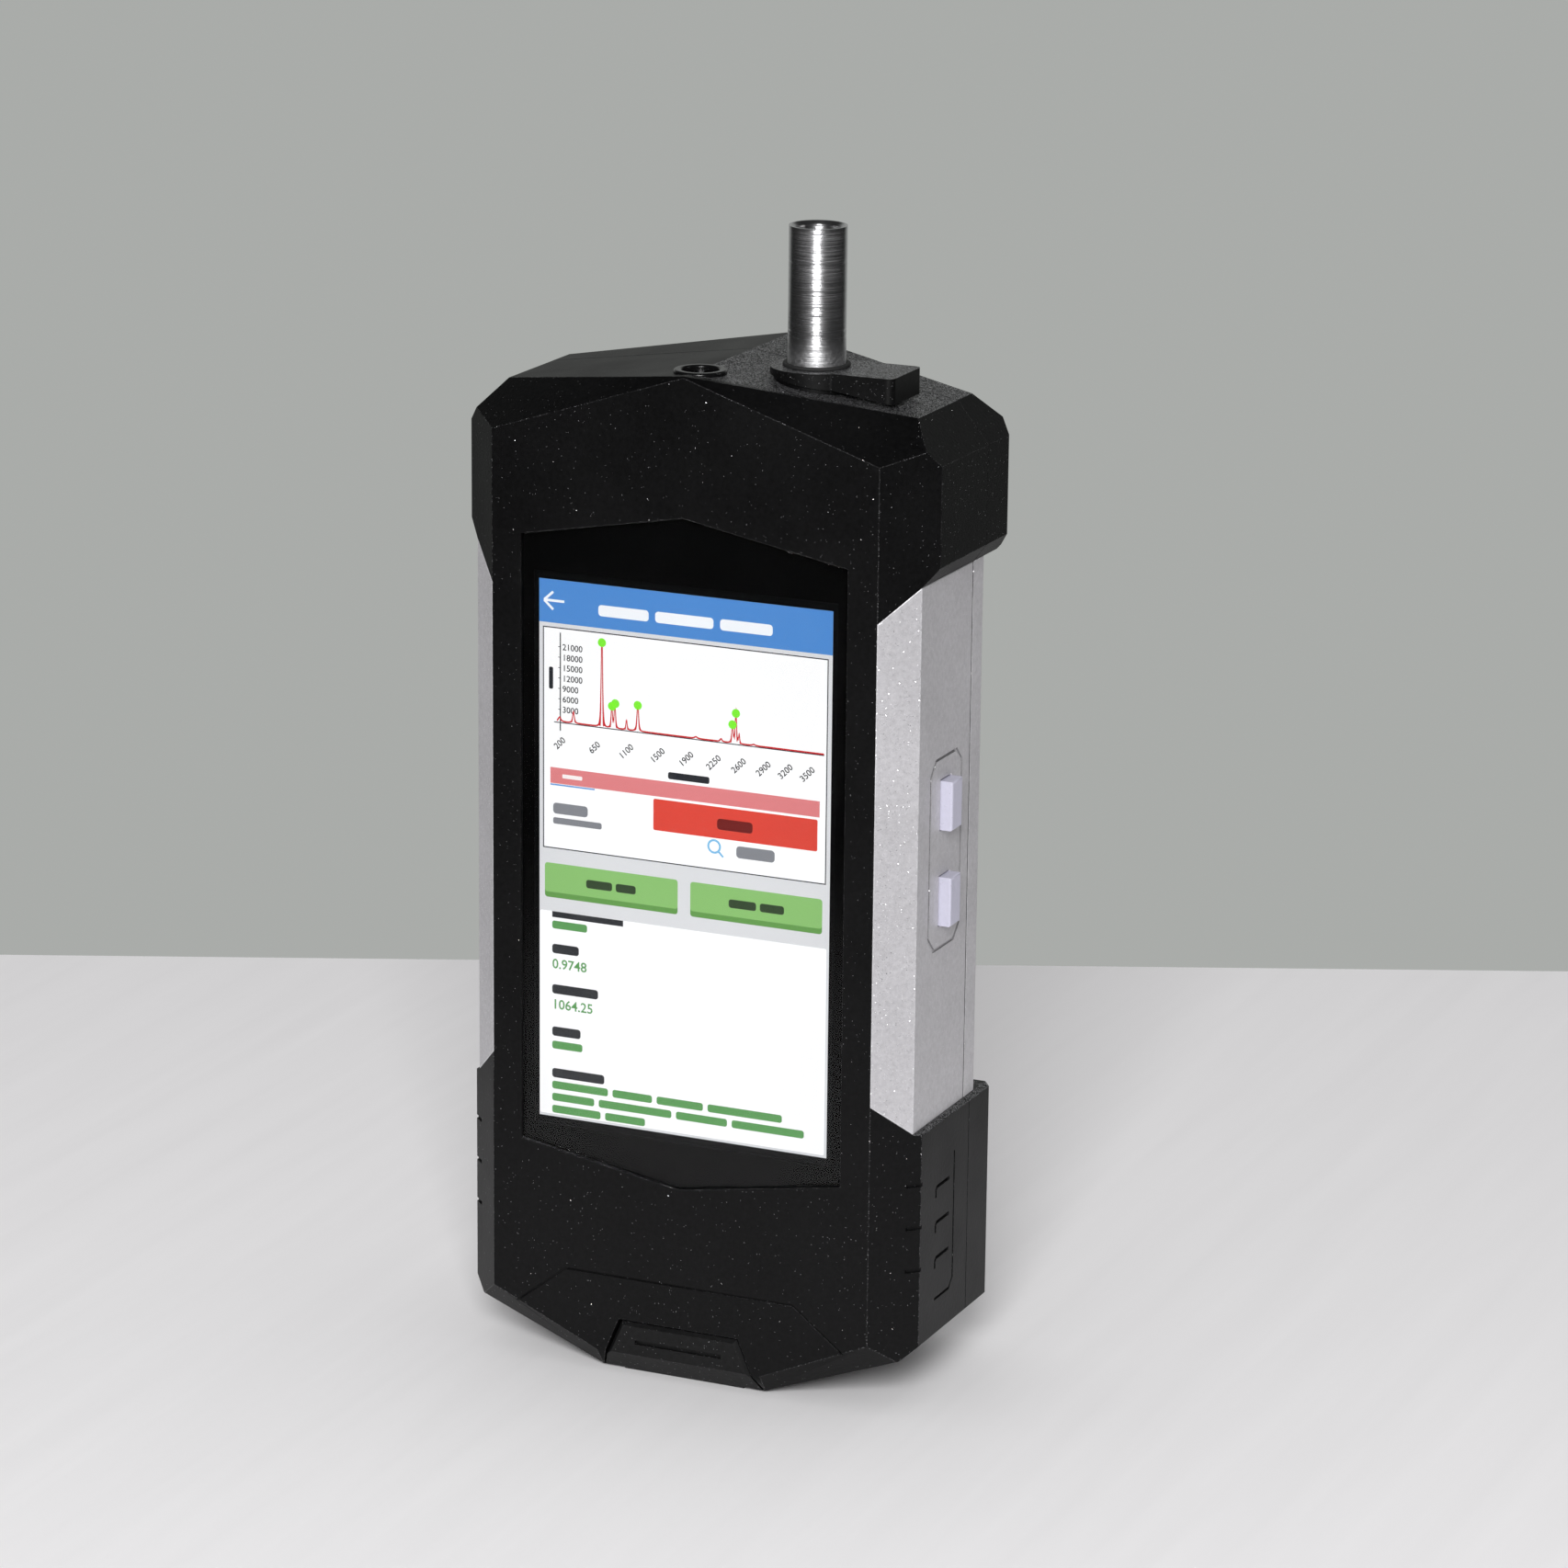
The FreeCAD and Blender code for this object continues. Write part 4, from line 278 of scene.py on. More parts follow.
def copy_of(node, label):
    """A merged copy of a CAD node, open in edit mode, which then stands for the node."""
    piece = bpy.data.objects.new(label, nodes[node].data.copy())
    bpy.context.scene.collection.objects.link(piece)
    edit(piece)
    bpy.ops.mesh.select_all(action="SELECT")
    bpy.ops.mesh.customdata_custom_splitnormals_clear()
    bpy.ops.mesh.remove_doubles(threshold=SAME_POINT)
    bpy.ops.mesh.dissolve_limited(angle_limit=FLAT_ANGLE)
    bpy.ops.mesh.select_all(action="DESELECT")
    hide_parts(node)
    return piece


def outer_edges(piece, least_angle=SHELL_EDGE_ANGLE, least_length=SHELL_EDGE_LENGTH,
                skip=lambda middle: False):
    """Selects the convex edges that stand free: a ray from their middle outwards meets nothing."""
    bpy.ops.mesh.select_mode(type="EDGE")
    mesh = bmesh.from_edit_mesh(piece.data)
    tree = BVHTree.FromBMesh(mesh)
    for line in mesh.edges:
        line.select_set(False)
    for line in mesh.edges:
        length = line.calc_length()
        if len(line.link_faces) != 2 or not line.is_convex or length < least_length:
            continue
        if line.calc_face_angle() < least_angle:
            continue
        if min(face.calc_area() for face in line.link_faces) < GROOVE_WALL * length:
            continue
        middle = (line.verts[0].co + line.verts[1].co) / 2
        out = (line.link_faces[0].normal + line.link_faces[1].normal).normalized()
        if not skip(middle) and tree.ray_cast(middle + out * RAY_START, out)[0] is None:
            line.select_set(True)
    bmesh.update_edit_mesh(piece.data)


def round_edges(width, segments=3):
    """Rounds the selected edges, and marks the new faces as worn edge."""
    bpy.ops.mesh.bevel(offset=width, offset_type="OFFSET", segments=segments, affect="EDGES",
                       clamp_overlap=True, miter_outer="ARC")
    mesh = bmesh.from_edit_mesh(bpy.context.object.data)
    layer = mesh.faces.layers.float.get("edge_wear") or mesh.faces.layers.float.new("edge_wear")
    for face in mesh.faces:
        longest = max(line.calc_length() for line in face.edges)
        if face.select and face.calc_area() < width * longest:
            face[layer] = 1.0
    bmesh.update_edit_mesh(bpy.context.object.data)


def mark_grooves():
    """Marks the narrow walls of the scribed lines as worn and half in painted shade, and their
    floors as in full painted shade.
    """
    mesh = bmesh.from_edit_mesh(bpy.context.object.data)
    wear = mesh.faces.layers.float.new("edge_wear")
    shade_layer = mesh.faces.layers.float.new("groove_shade")
    for face in mesh.faces:
        longest = max(line.calc_length() for line in face.edges)
        if face.calc_area() < GROOVE_WALL * longest:
            wall = any(line.is_convex for line in face.edges)
            face[shade_layer] = 0.6 if wall else 1.0
            face[wear] = 1.0 if wall else 0.0
    bmesh.update_edit_mesh(bpy.context.object.data)


def open_seam(seam, back, gap):
    """Moves the parting face back by half the gap, and marks it for painted shade, so that the seam
    shows dark.
    """
    mesh = bmesh.from_edit_mesh(bpy.context.object.data)
    shade_layer = mesh.faces.layers.float["groove_shade"]
    for face in mesh.faces:
        at_seam = abs(face.calc_center_median().y - seam) < SAME_PLANE
        if at_seam and abs(face.normal.y) > FACING_BACK:
            face[shade_layer] = 1.0
    for point in mesh.verts:
        if abs(point.co.y - seam) < SAME_PLANE:
            point.co.y += back * gap / 2
    bmesh.update_edit_mesh(bpy.context.object.data)


def dress(piece, material):
    """Gives the piece one material."""
    piece.data.materials.clear()
    piece.data.materials.append(material)


def finish_piece(piece, material, body, smooth=40):
    """Smooths the small rounds, keeps the flats flat, and lets the piece ride on its body."""
    if bpy.context.object and bpy.context.object.mode == "EDIT":
        bpy.ops.object.mode_set(mode="OBJECT")
    bpy.ops.object.select_all(action="DESELECT")
    bpy.context.view_layer.objects.active = piece
    piece.select_set(True)
    bpy.ops.object.shade_smooth_by_angle(angle=math.radians(smooth), keep_sharp_edges=False)
    bpy.ops.object.modifier_add(type="WEIGHTED_NORMAL")
    piece.modifiers[-1].keep_sharp = True
    bpy.ops.object.modifier_apply(modifier=piece.modifiers[-1].name)
    dress(piece, material)
    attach(piece, body)


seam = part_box("front_shell")[1][1]
for node, back in (("front_shell", -1), ("rear_shell", 1)):
    shell = copy_of(node, node.replace("shell", "housing"))
    mark_grooves()
    open_seam(seam, back, SEAM_GAP)
    outer_edges(shell)
    round_edges(SHELL_ROUND)
    finish_piece(shell, black_paint, "housing")

# Side grips: thin zinc panels, inlaid flush in the waist and sprayed silver with a coarser sparkle.
# Four of them meet at the seam, and the front right one has slots for the buttons inside a
# scribed line.
GRIP_ROUND = 0.22 * MM
GRIP_GAP = 0.3 * MM
silver_paint = painted(
    "silver_sparkle_paint", paint=(0.53, 0.52, 0.54), fleck=(0.95, 0.95, 0.97),
    worn=(0.75, 0.75, 0.77), wear=0.6, metal=0.3, specular=0.5, Roughness=0.46, Mottle=0.2,
    Fleck_Share=0.2, Edge_Share=0.5, Flecks_per_Metre=3400.0, Fleck_Tilt=0.9,
    Fleck_Roughness=0.3, Peel_Depth=0.00003)
for node in ("side_grip_left_front", "side_grip_left_rear",
             "side_grip_right_front", "side_grip_right_rear"):
    grip = copy_of(node, node.replace("side_grip", "grip_panel"))
    mark_grooves()
    open_seam(seam, 1 if node.endswith("rear") else -1, GRIP_GAP)
    outer_edges(grip)
    round_edges(GRIP_ROUND, 2)
    finish_piece(grip, silver_paint, "housing")

# Side buttons: two moulded caps, painted a smooth pale silver, that slide in the slots of the grip.
# Their edges are already round, so they are only smoothed.
button_paint = painted(
    "button_paint", paint=(0.56, 0.55, 0.66), fleck=(0.8, 0.8, 0.86), worn=(0.8, 0.8, 0.86),
    wear=0.4, metal=0.15, specular=0.5, Roughness=0.4, Mottle=0.06, Fleck_Share=0.03,
    Fleck_Tilt=0.4, Peel_Depth=0.00001)
for node in ("upper_button", "lower_button"):
    cap = copy_of(node, node + "_cap")
    finish_piece(cap, button_paint, node, smooth=50)

# Display: a colour panel with a dark polariser, glued behind the glass. The lit page on it is
# laid out in bars and plain numbers, each layer a hair in front of the last, inside the air
# gap between the panel and the glass. All places on the page are in millimetres.
PAGE_FRONT = -24.17
LAYER = 0.02
SHEET = 0.008 * MM
DIGIT_HEIGHT = 0.72
SAME_DIGIT_POINT = 0.0004 * MM
BAR_CORNER = 0.3
RING_SIDES = 40
NUMBER_FATNESS = 0.012


def mapped(tree, place, **values):
    """A place moved, turned or stretched."""
    return add(tree, "ShaderNodeMapping", {"Vector": place, **values}).outputs["Vector"]


def make_backlight():
    """Light of one colour from a lit panel, a little weaker at its rim and uneven by a hair."""
    group, given, result = effect(
        "backlight", [("Color", "Color", (1, 1, 1, 1)), ("Rim Light", "Float", 0.93)],
        [("Color", "Color")])
    place = object_place(group)
    centred = mapped(group, place, Location=(0, 0, -1.6), Scale=(22, 0, 15))
    away = vector_math(group, "LENGTH", centred, end="Value")
    fall = map_range(group, away, 0.3, 1.1, 1.0, given["Rim Light"])
    uneven = map_range(group, noise(group, place, 40.0, 1.0), 0.0, 1.0, 0.98, 1.02)
    level = math_node(group, "MULTIPLY", fall, uneven)
    give(group, result, {"Color": scaled(group, given["Color"], level)})
    return group


backlight = make_backlight()


def lit(name, red, green, blue):
    """A lit screen colour, given as the 0 to 255 levels that it shows."""
    material, tree, shader = new_material(name, Emission_Strength=1.1, Roughness=0.5)
    colour = [((level / 255 + 0.055) / 1.055) ** 2.4 for level in (red, green, blue)]
    light = placed(tree, backlight, Color=(*colour, 1))["Color"]
    give(tree, shader, {"Emission Color": light, "Base Color": scaled(tree, light, 0.02)})
    return material


def new_piece(label):
    """An empty piece at the origin, open in edit mode."""
    piece = bpy.data.objects.new(label, bpy.data.meshes.new(label))
    bpy.context.scene.collection.objects.link(piece)
    edit(piece)
    return piece


def tile(left, right, low, high, corner=0.0, lean=0.0):
    """Adds a flat shape that faces the user to the piece in edit mode."""
    bpy.ops.mesh.select_all(action="DESELECT")
    bpy.ops.mesh.primitive_plane_add(size=1, rotation=(math.pi / 2, 0, 0))
    mesh = bmesh.from_edit_mesh(bpy.context.object.data)
    turn = Matrix.Rotation(lean, 3, "Y")
    middle = Vector((left + right, 0, low + high)) / 2
    for corner_point in mesh.verts:
        if corner_point.select:
            across = math.copysign((right - left) / 2, corner_point.co.x)
            up = math.copysign((high - low) / 2, corner_point.co.z)
            corner_point.co = (middle + turn @ Vector((across, 0, up))) * MM
    bmesh.update_edit_mesh(bpy.context.object.data)
    if corner:
        bpy.ops.mesh.bevel(offset=corner * MM, segments=4, affect="VERTICES")


def bar(left, right, middle, height):
    """A rounded bar, which stands for a line of words."""
    tile(left, right, middle - height / 2, middle + height / 2, corner=height * BAR_CORNER)


def ring(across, up, radius, band=0.0):
    """A disc, or a ring of the given band, added to the piece in edit mode."""
    bpy.ops.mesh.select_all(action="DESELECT")
    bpy.ops.mesh.primitive_circle_add(
        vertices=RING_SIDES, radius=radius * MM, fill_type="NGON",
        location=(across * MM, 0, up * MM), rotation=(math.pi / 2, 0, 0))
    if band:
        bpy.ops.mesh.inset(thickness=band * MM)
        bpy.ops.mesh.delete(type="FACE")


def finish_sheet(layer, material):
    """Gives the piece's flat shapes a sheet's thickness, and sets them on their layer."""
    bpy.ops.object.mode_set(mode="OBJECT")
    piece = bpy.context.object
    bpy.ops.object.modifier_add(type="SOLIDIFY")
    piece.modifiers[-1].thickness = SHEET
    bpy.ops.object.modifier_apply(modifier=piece.modifiers[-1].name)
    piece.data.transform(Matrix.Translation((0, (PAGE_FRONT - layer * LAYER) * MM, 0)))
    dress(piece, material)
    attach(piece, "housing")


def number(words, across, up, height, lean=0.0):
    """A plain number as a mesh that faces the user, with its left end at the given place."""
    bpy.ops.object.text_add(location=(0, 0, 0))
    text = bpy.context.object
    text.data.body = words
    text.data.offset = NUMBER_FATNESS
    text.data.align_y = "CENTER"
    text.data.resolution_u = 3
    bpy.ops.object.convert(target="MESH")
    upright = Matrix.Rotation(lean, 4, "Y") @ Matrix.Rotation(math.pi / 2, 4, "X")
    text.data.transform(Matrix.Translation((across * MM, 0, up * MM)) @ upright
                        @ Matrix.Scale(height * MM / DIGIT_HEIGHT, 4))
    return text


def number_sheet(label, layer, material, *numbers):
    """Several numbers of one colour, joined into one piece."""
    texts = [number(*words) for words in numbers]
    bpy.ops.object.select_all(action="DESELECT")
    for text in texts:
        text.select_set(True)
    bpy.context.view_layer.objects.active = texts[0]
    bpy.ops.object.join()
    texts[0].name = label
    edit(texts[0])
    bpy.ops.mesh.select_all(action="SELECT")
    bpy.ops.mesh.remove_doubles(threshold=SAME_DIGIT_POINT)
    finish_sheet(layer, material)


new_piece("page_ground")
tile(-31, 31, 51.4, 160.4)
finish_sheet(0, lit("page_grey", 214, 215, 218))
new_piece("page_header")
tile(-31, 31, 151.8, 160.4)
finish_sheet(1, lit("header_blue", 74, 134, 204))
new_piece("page_panels")
tile(-30.2, 30.2, 106.5, 151.0)
tile(-30.9, 30.5, 51.9, 93.7, corner=0.4)
finish_sheet(2, lit("panel_white", 250, 250, 251))
new_piece("header_marks")
tile(-30, -25.6, 155.95, 156.45)
tile(-30.25, -27.65, 156.85, 157.35, lean=math.radians(-42))
tile(-30.25, -27.65, 155.05, 155.55, lean=math.radians(42))
for left, right in ((-18.3, -7.6), (-6.2, 6.1), (7.5, 18.5)):
    bar(left, right, 155.3, 2.2)
finish_sheet(2, lit("header_white", 238, 241, 246))

new_piece("chart_lines")
for left, right, low, high in (
        (-30.2, 30.2, 150.78, 151.0), (-30.2, -29.98, 106.5, 151.0), (29.98, 30.2, 106.5, 151.0),
        (-30.2, 30.2, 106.5, 106.72), (-26.56, -26.32, 130.4, 150.0),
        (-27.8, 29.5, 131.94, 132.14)):
    tile(left, right, low, high)
SCALE_STEP = 2.08
SLANT = math.radians(-45)
HALF_DIGIT = 0.3
for step in range(7):
    tile(-26.9, -26.4, 134.62 + step * SCALE_STEP, 134.76 + step * SCALE_STEP)
tile(-28.9, -28.0, 138.6, 143.0, corner=0.3)
bar(-3.3, 5.5, 124.2, 1.4)
finish_sheet(3, lit("chart_dark", 34, 36, 42))
chart_scale = [(str(21000 - 3000 * step), -26.0, 147.1 - SCALE_STEP * step, 1.25)
               for step in range(7)]
for words, across in (("200", -26.6), ("650", -19.1), ("1100", -12.3), ("1500", -5.6),
                      ("1900", 0.5), ("2250", 6.3), ("2600", 11.6), ("2900", 16.8),
                      ("3200", 21.4), ("3500", 26.0)):
    half = HALF_DIGIT * len(words)
    chart_scale.append((words, across - half, 127.8 - half, 1.3, SLANT))
number_sheet("chart_numbers", 3, lit("number_dark", 16, 16, 20), *chart_scale)

SPECTRUM_BASE = 132.3
SPECTRUM_LEFT = -27.2
SPECTRUM_RIGHT = 29.5
SPECTRUM_STEPS = 900
SPECTRUM_LINE = 0.15
SPECTRUM_TOP = 149.1  # where the tallest peak ends
SLOPE_STEP = 0.01
SPECTRUM_PEAKS = (
    (-26.6, 0.8, 0.5), (-23.6, 2.0, 0.36), (-17.5, 16.5, 0.3), (-15.35, 3.7, 0.3),
    (-14.7, 4.3, 0.3), (-12.2, 1.6, 0.28), (-9.8, 4.6, 0.36), (2.6, 0.3, 0.5), (7.9, 0.5, 0.4),
    (10.3, 3.2, 0.3), (11.0, 5.5, 0.3), (11.7, 1.5, 0.25), (14.8, 0.2, 0.5))


def spectrum(across):
    """The height of the measured curve, a sum of narrow peaks."""
    return SPECTRUM_BASE + sum(tall / (1 + ((across - peak) / wide) ** 2) ** 2
                               for peak, tall, wide in SPECTRUM_PEAKS)


curve = new_piece("chart_curve")
bpy.ops.mesh.primitive_grid_add(x_subdivisions=SPECTRUM_STEPS, y_subdivisions=1, size=1,
                                rotation=(math.pi / 2, 0, 0))
mesh = bmesh.from_edit_mesh(curve.data)
for point in mesh.verts:
    across = SPECTRUM_LEFT + (point.co.x + 0.5) * (SPECTRUM_RIGHT - SPECTRUM_LEFT)
    slope = (spectrum(across + SLOPE_STEP) - spectrum(across - SLOPE_STEP)) / (2 * SLOPE_STEP)
    half_line = SPECTRUM_LINE * math.sqrt(1 + slope * slope)
    up = spectrum(across) + math.copysign(half_line, point.co.z)
    up = min(max(up, SPECTRUM_BASE - SPECTRUM_LINE), SPECTRUM_TOP)
    point.co = Vector((across, 0, up)) * MM
bmesh.update_edit_mesh(curve.data)
finish_sheet(4, lit("curve_red", 196, 22, 34))
new_piece("peak_dots")
DOT_RADIUS = 0.87
for across, up in ((-17.5, 149.0), (-15.3, 136.6), (-14.6, 137.2), (-9.8, 137.4),
                   (10.3, 135.9), (11.0, 138.2)):
    ring(across, up, DOT_RADIUS)
finish_sheet(5, lit("dot_green", 124, 236, 48))

new_piece("result_strip")
tile(-28.6, 28.7, 119.7, 122.9)
finish_sheet(3, lit("strip_pink", 217, 125, 128))
new_piece("strip_mark")
tile(-26.0, -21.7, 120.9, 121.7, corner=0.2)
finish_sheet(4, lit("strip_white", 244, 236, 236))
new_piece("strip_line")
tile(-28.6, -19.0, 119.3, 119.6)
finish_sheet(4, lit("line_blue", 96, 150, 212))
new_piece("side_words")
bar(-28.0, -20.5, 114.7, 2.2)
bar(-28.0, -17.5, 112.2, 1.3)
bar(11.3, 19.4, 110.7, 2.4)
finish_sheet(3, lit("words_grey", 128, 130, 136))
new_piece("alert_box")
tile(-6.4, 28.3, 112.9, 119.2, corner=0.35)
finish_sheet(3, lit("alert_red", 215, 66, 52))
new_piece("alert_words")
bar(7.2, 14.7, 115.8, 2.2)
finish_sheet(4, lit("words_on_red", 108, 22, 20))
new_piece("search_mark")
ring(6.6, 111.2, 1.45, band=0.42)
tile(7.35, 8.75, 109.55, 109.95, lean=math.radians(45))
finish_sheet(3, lit("mark_blue", 120, 184, 226))
BUTTON_TOP = 103.5
for layer, low, name, colour in ((3, 96.5, "button_lips", (96, 150, 74)),
                                 (4, 97.6, "button_faces", (134, 186, 108))):
    new_piece(name)
    tile(-29.8, -1.1, low, BUTTON_TOP, corner=0.6)
    tile(1.6, 29.5, low, BUTTON_TOP, corner=0.6)
    finish_sheet(layer, lit(name + "_green", *colour))
new_piece("button_words")
for left, right in ((-20.8, -15.2), (-14.4, -10.1), (9.8, 15.6), (16.4, 21.5)):
    bar(left, right, 100.2, 1.7)
finish_sheet(5, lit("words_on_green", 46, 66, 40))

new_piece("heading_words")
tile(-28.2, -12.8, 92.5, 93.7)
for right, middle in ((-22.4, 86.1), (-18.2, 77.8), (-22.0, 69.1), (-16.8, 60.5)):
    bar(-28.2, right, middle, 1.9)
finish_sheet(4, lit("words_black", 38, 40, 44))
new_piece("value_words")
for left, right, middle in (
        (-28.2, -20.6, 91.0), (-28.2, -21.6, 66.3), (-28.2, -16.0, 58.0), (-15.0, -6.4, 58.0),
        (-5.4, 4.6, 58.0), (5.6, 21.5, 58.0), (-28.2, -19.0, 55.5), (-18.0, -2.2, 55.5),
        (-1.2, 9.8, 55.5), (10.8, 26.2, 55.5), (-28.2, -17.6, 53.0), (-16.6, -7.9, 53.0)):
    bar(left, right, middle, 1.6)
value_green = lit("value_green", 88, 150, 84)
finish_sheet(4, value_green)
number_sheet("value_numbers", 4, value_green,
             ("0.9748", -28.2, 82.9, 2.0), ("1064.25", -28.2, 74.6, 2.0))


def relief(tree, height, depth):
    """The normal over a pattern of heights, of the given depth in metres."""
    return add(tree, "ShaderNodeBump", {"Height": height, "Distance": depth}).outputs["Normal"]


def make_speckle():
    """Fine grain of a moulded, cast or coated surface: a shade, a roughness and a height."""
    group, given, result = effect(
        "speckle",
        [("Color", "Color", (0.1, 0.1, 0.1, 1)), ("Contrast", "Float", 0.2),
         ("Grains per Metre", "Float", 2000.0), ("Roughness", "Float", 0.5),
         ("Spread", "Float", 0.1)],
        [("Color", "Color"), ("Roughness", "Float"), ("Height", "Float")])
    place = object_place(group)
    grain = noise(group, place, given["Grains per Metre"], 3.0)
    both = math_node(group, "ADD", grain, noise(group, place, 90.0, 4.0))
    centred = math_node(group, "SUBTRACT", both, 1.0)
    swing = math_node(group, "MULTIPLY_ADD", centred, given["Contrast"], 1.0)
    rough = math_node(group, "MULTIPLY_ADD", centred, given["Spread"], given["Roughness"])
    give(group, result, {"Color": scaled(group, given["Color"], swing), "Roughness": rough,
                         "Height": grain})
    return group


speckle = make_speckle()


def grained(name, colour, roughness, grains, depth, contrast=0.3, spread=0.15, **plain):
    """A grained surface; depth is the height of its grain in metres."""
    material, tree, shader = new_material(name, **plain)
    grain = placed(tree, speckle, Color=(*colour, 1), Contrast=contrast,
                   Grains_per_Metre=grains, Roughness=roughness, Spread=spread)
    give(tree, shader, {"Base Color": grain["Color"], "Roughness": grain["Roughness"],
                        "Normal": relief(tree, grain["Height"], depth)})
    return material


dress(nodes["display_panel"], grained("display_polariser", (0.0028, 0.0029, 0.0032), 0.6, 900.0,
                                      0.000002, Specular_IOR_Level=0.05))

# Cover glass: a pointed pane of chemically hardened glass with ground edges. A thin black frame
# of adhesive holds it and shows through it as its border. It carries a few faint smears.
GLASS_ROUND = 0.25 * MM
GLUE_CLEARANCE = 0.03 * MM


def make_smears():
    """Faint wiped finger marks on a polished surface, as a roughness."""
    group, given, result = effect(
        "smears", [("Clean", "Float", 0.01), ("Smeared", "Float", 0.08)],
        [("Roughness", "Float")])
    wiped = mapped(group, object_place(group), Rotation=(0, 0.5, 0), Scale=(50, 50, 14))
    marks = noise(group, wiped, 1.0, 5.0, distortion=0.6)
    rough = map_range(group, marks, 0.5, 0.75, given["Clean"], given["Smeared"])
    give(group, result, {"Roughness": rough})
    return group


smears = make_smears()


def glassy(name, tint, clean, smeared, index):
    """Clear glass with faint smears; a low index stands for its coating against glare."""
    material, tree, shader = new_material(name, Base_Color=(*tint, 1), Transmission_Weight=1.0,
                                          IOR=index)
    marks = placed(tree, smears, Clean=clean, Smeared=smeared)
    give(tree, shader, {"Roughness": marks["Roughness"]})
    return material


dress(nodes["glass_adhesive"], grained("adhesive_black", (0.0012, 0.0012, 0.0013), 0.8, 1500.0,
                                       0.000001, Specular_IOR_Level=0.02))
pane = copy_of("cover_glass", "glass_pane")
mesh = bmesh.from_edit_mesh(pane.data)
pane_back = max(point.co.y for point in mesh.verts)
for point in mesh.verts:
    if pane_back - point.co.y < SAME_PLANE:
        point.co.y -= GLUE_CLEARANCE
bmesh.update_edit_mesh(pane.data)
outer_edges(pane)
round_edges(GLASS_ROUND)
hard_glass = glassy("hard_glass", (0.98, 0.985, 0.985), 0.012, 0.05, 1.22)
finish_piece(pane, hard_glass, "housing", smooth=50)

# Inside the housing: the sheet steel bracket behind the display, the main board with its
# shield, sounder and screws, and the button board with its two switches. Boards are green,
# with traces under the mask.
TRACES_PER_METRE = 260.0
TRACE_HEIGHT = 0.03 * MM


def make_brushing():
    """Straight brush or mill marks along one direction: a roughness and a height."""
    group, given, result = effect(
        "brushing",
        [("Along", "Vector", (40.0, 3000.0, 3000.0)), ("Roughness", "Float", 0.3),
         ("Spread", "Float", 0.2)], [("Roughness", "Float"), ("Height", "Float")])
    stretched = vector_math(group, "MULTIPLY", object_place(group), given["Along"])
    marks = noise(group, stretched, 1.0, 4.0, roughness=0.6)
    centred = math_node(group, "SUBTRACT", marks, 0.5)
    rough = math_node(group, "MULTIPLY_ADD", centred, given["Spread"], given["Roughness"])
    give(group, result, {"Roughness": rough, "Height": marks})
    return group


brushing = make_brushing()


def metal(name, colour, roughness, along, depth=0.000004, worn=None):
    """A brushed, milled or plated metal, paler or darker in soft clouds."""
    material, tree, shader = new_material(name, Metallic=1.0)
    marks = placed(tree, brushing, Along=along, Roughness=roughness)
    cloud = noise(tree, object_place(tree), 120.0, 3.0)
    tint = scaled(tree, colour, map_range(tree, cloud, 0.0, 1.0, 0.85, 1.12))
    worn = worn or [min(1.0, level * 1.4) for level in colour]
    shade = placed(tree, edge_wear, Color=tint, Worn=(*worn, 1))
    give(tree, shader, {"Base Color": shade["Color"], "Roughness": marks["Roughness"],
                        "Normal": relief(tree, marks["Height"], depth)})
    return material


def make_circuit_board():
    """Green solder mask, a shade paler over the traces that run under it."""
    material, tree, shader = new_material("circuit_board", Coat_Roughness=0.25,
                                          Specular_IOR_Level=0.5)
    turned = mapped(tree, object_place(tree), Rotation=(math.pi / 2, 0, 0))
    lanes = add(tree, "ShaderNodeTexBrick",
                {"Vector": turned, "Scale": TRACES_PER_METRE, "Mortar Size": 0.06,
                 "Color1": (0.012, 0.085, 0.045, 1), "Color2": (0.014, 0.10, 0.052, 1),
                 "Mortar": (0.03, 0.17, 0.085, 1)}, offset=0.37).outputs
    give(tree, shader, {"Base Color": lanes["Color"],
                        "Roughness": map_range(tree, lanes["Fac"], 0.0, 1.0, 0.42, 0.3),
                        "Normal": relief(tree, lanes["Fac"], TRACE_HEIGHT)})
    return material


bright_steel = metal("bright_steel", (0.58, 0.58, 0.59), 0.3, (60.0, 2500.0, 2500.0))
circuit_board = make_circuit_board()
moulded_black = grained("moulded_black", (0.018, 0.018, 0.019), 0.5, 2400.0, 0.00001)
for node in ("display_bracket", "processor_shield", "board_screws"):
    dress(nodes[node], bright_steel)
for node in ("main_board", "button_board"):
    dress(nodes[node], circuit_board)
for node in ("sounder", "button_switches"):
    dress(nodes[node], moulded_black)

# Probe and optical bench: a turned black barrel with its window and lens, and a milled, black
# anodised box with its cover, laser, filter, slit, mirrors, grating and detector. A finned
# heat sink cools the laser from behind.
black_anodised = metal("black_anodised", (0.022, 0.022, 0.024), 0.42, (900.0, 900.0, 900.0),
                       worn=(0.3, 0.3, 0.31))
clear_optic = glassy("coated_optic", (0.93, 0.96, 0.98), 0.004, 0.02, 1.4)
mirror_coat = metal("mirror_coat", (0.9, 0.9, 0.91), 0.05, (400.0, 400.0, 400.0),
                    depth=0.0000002)
laser_brass = metal("turned_brass", (0.72, 0.52, 0.22), 0.28, (3000.0, 60.0, 60.0))
milled_aluminium = metal("milled_aluminium", (0.66, 0.67, 0.69), 0.33, (60.0, 1800.0, 1800.0))
for node in ("probe_barrel", "optical_bench", "bench_cover", "slit_plate"):
    dress(nodes[node], black_anodised)
for node in ("probe_window", "objective_lens", "edge_filter"):
    dress(nodes[node], clear_optic)
for node in ("collimating_mirror", "focusing_mirror", "grating"):
    dress(nodes[node], mirror_coat)
for node in ("laser_clamp", "heat_sink"):
    dress(nodes[node], milled_aluminium)
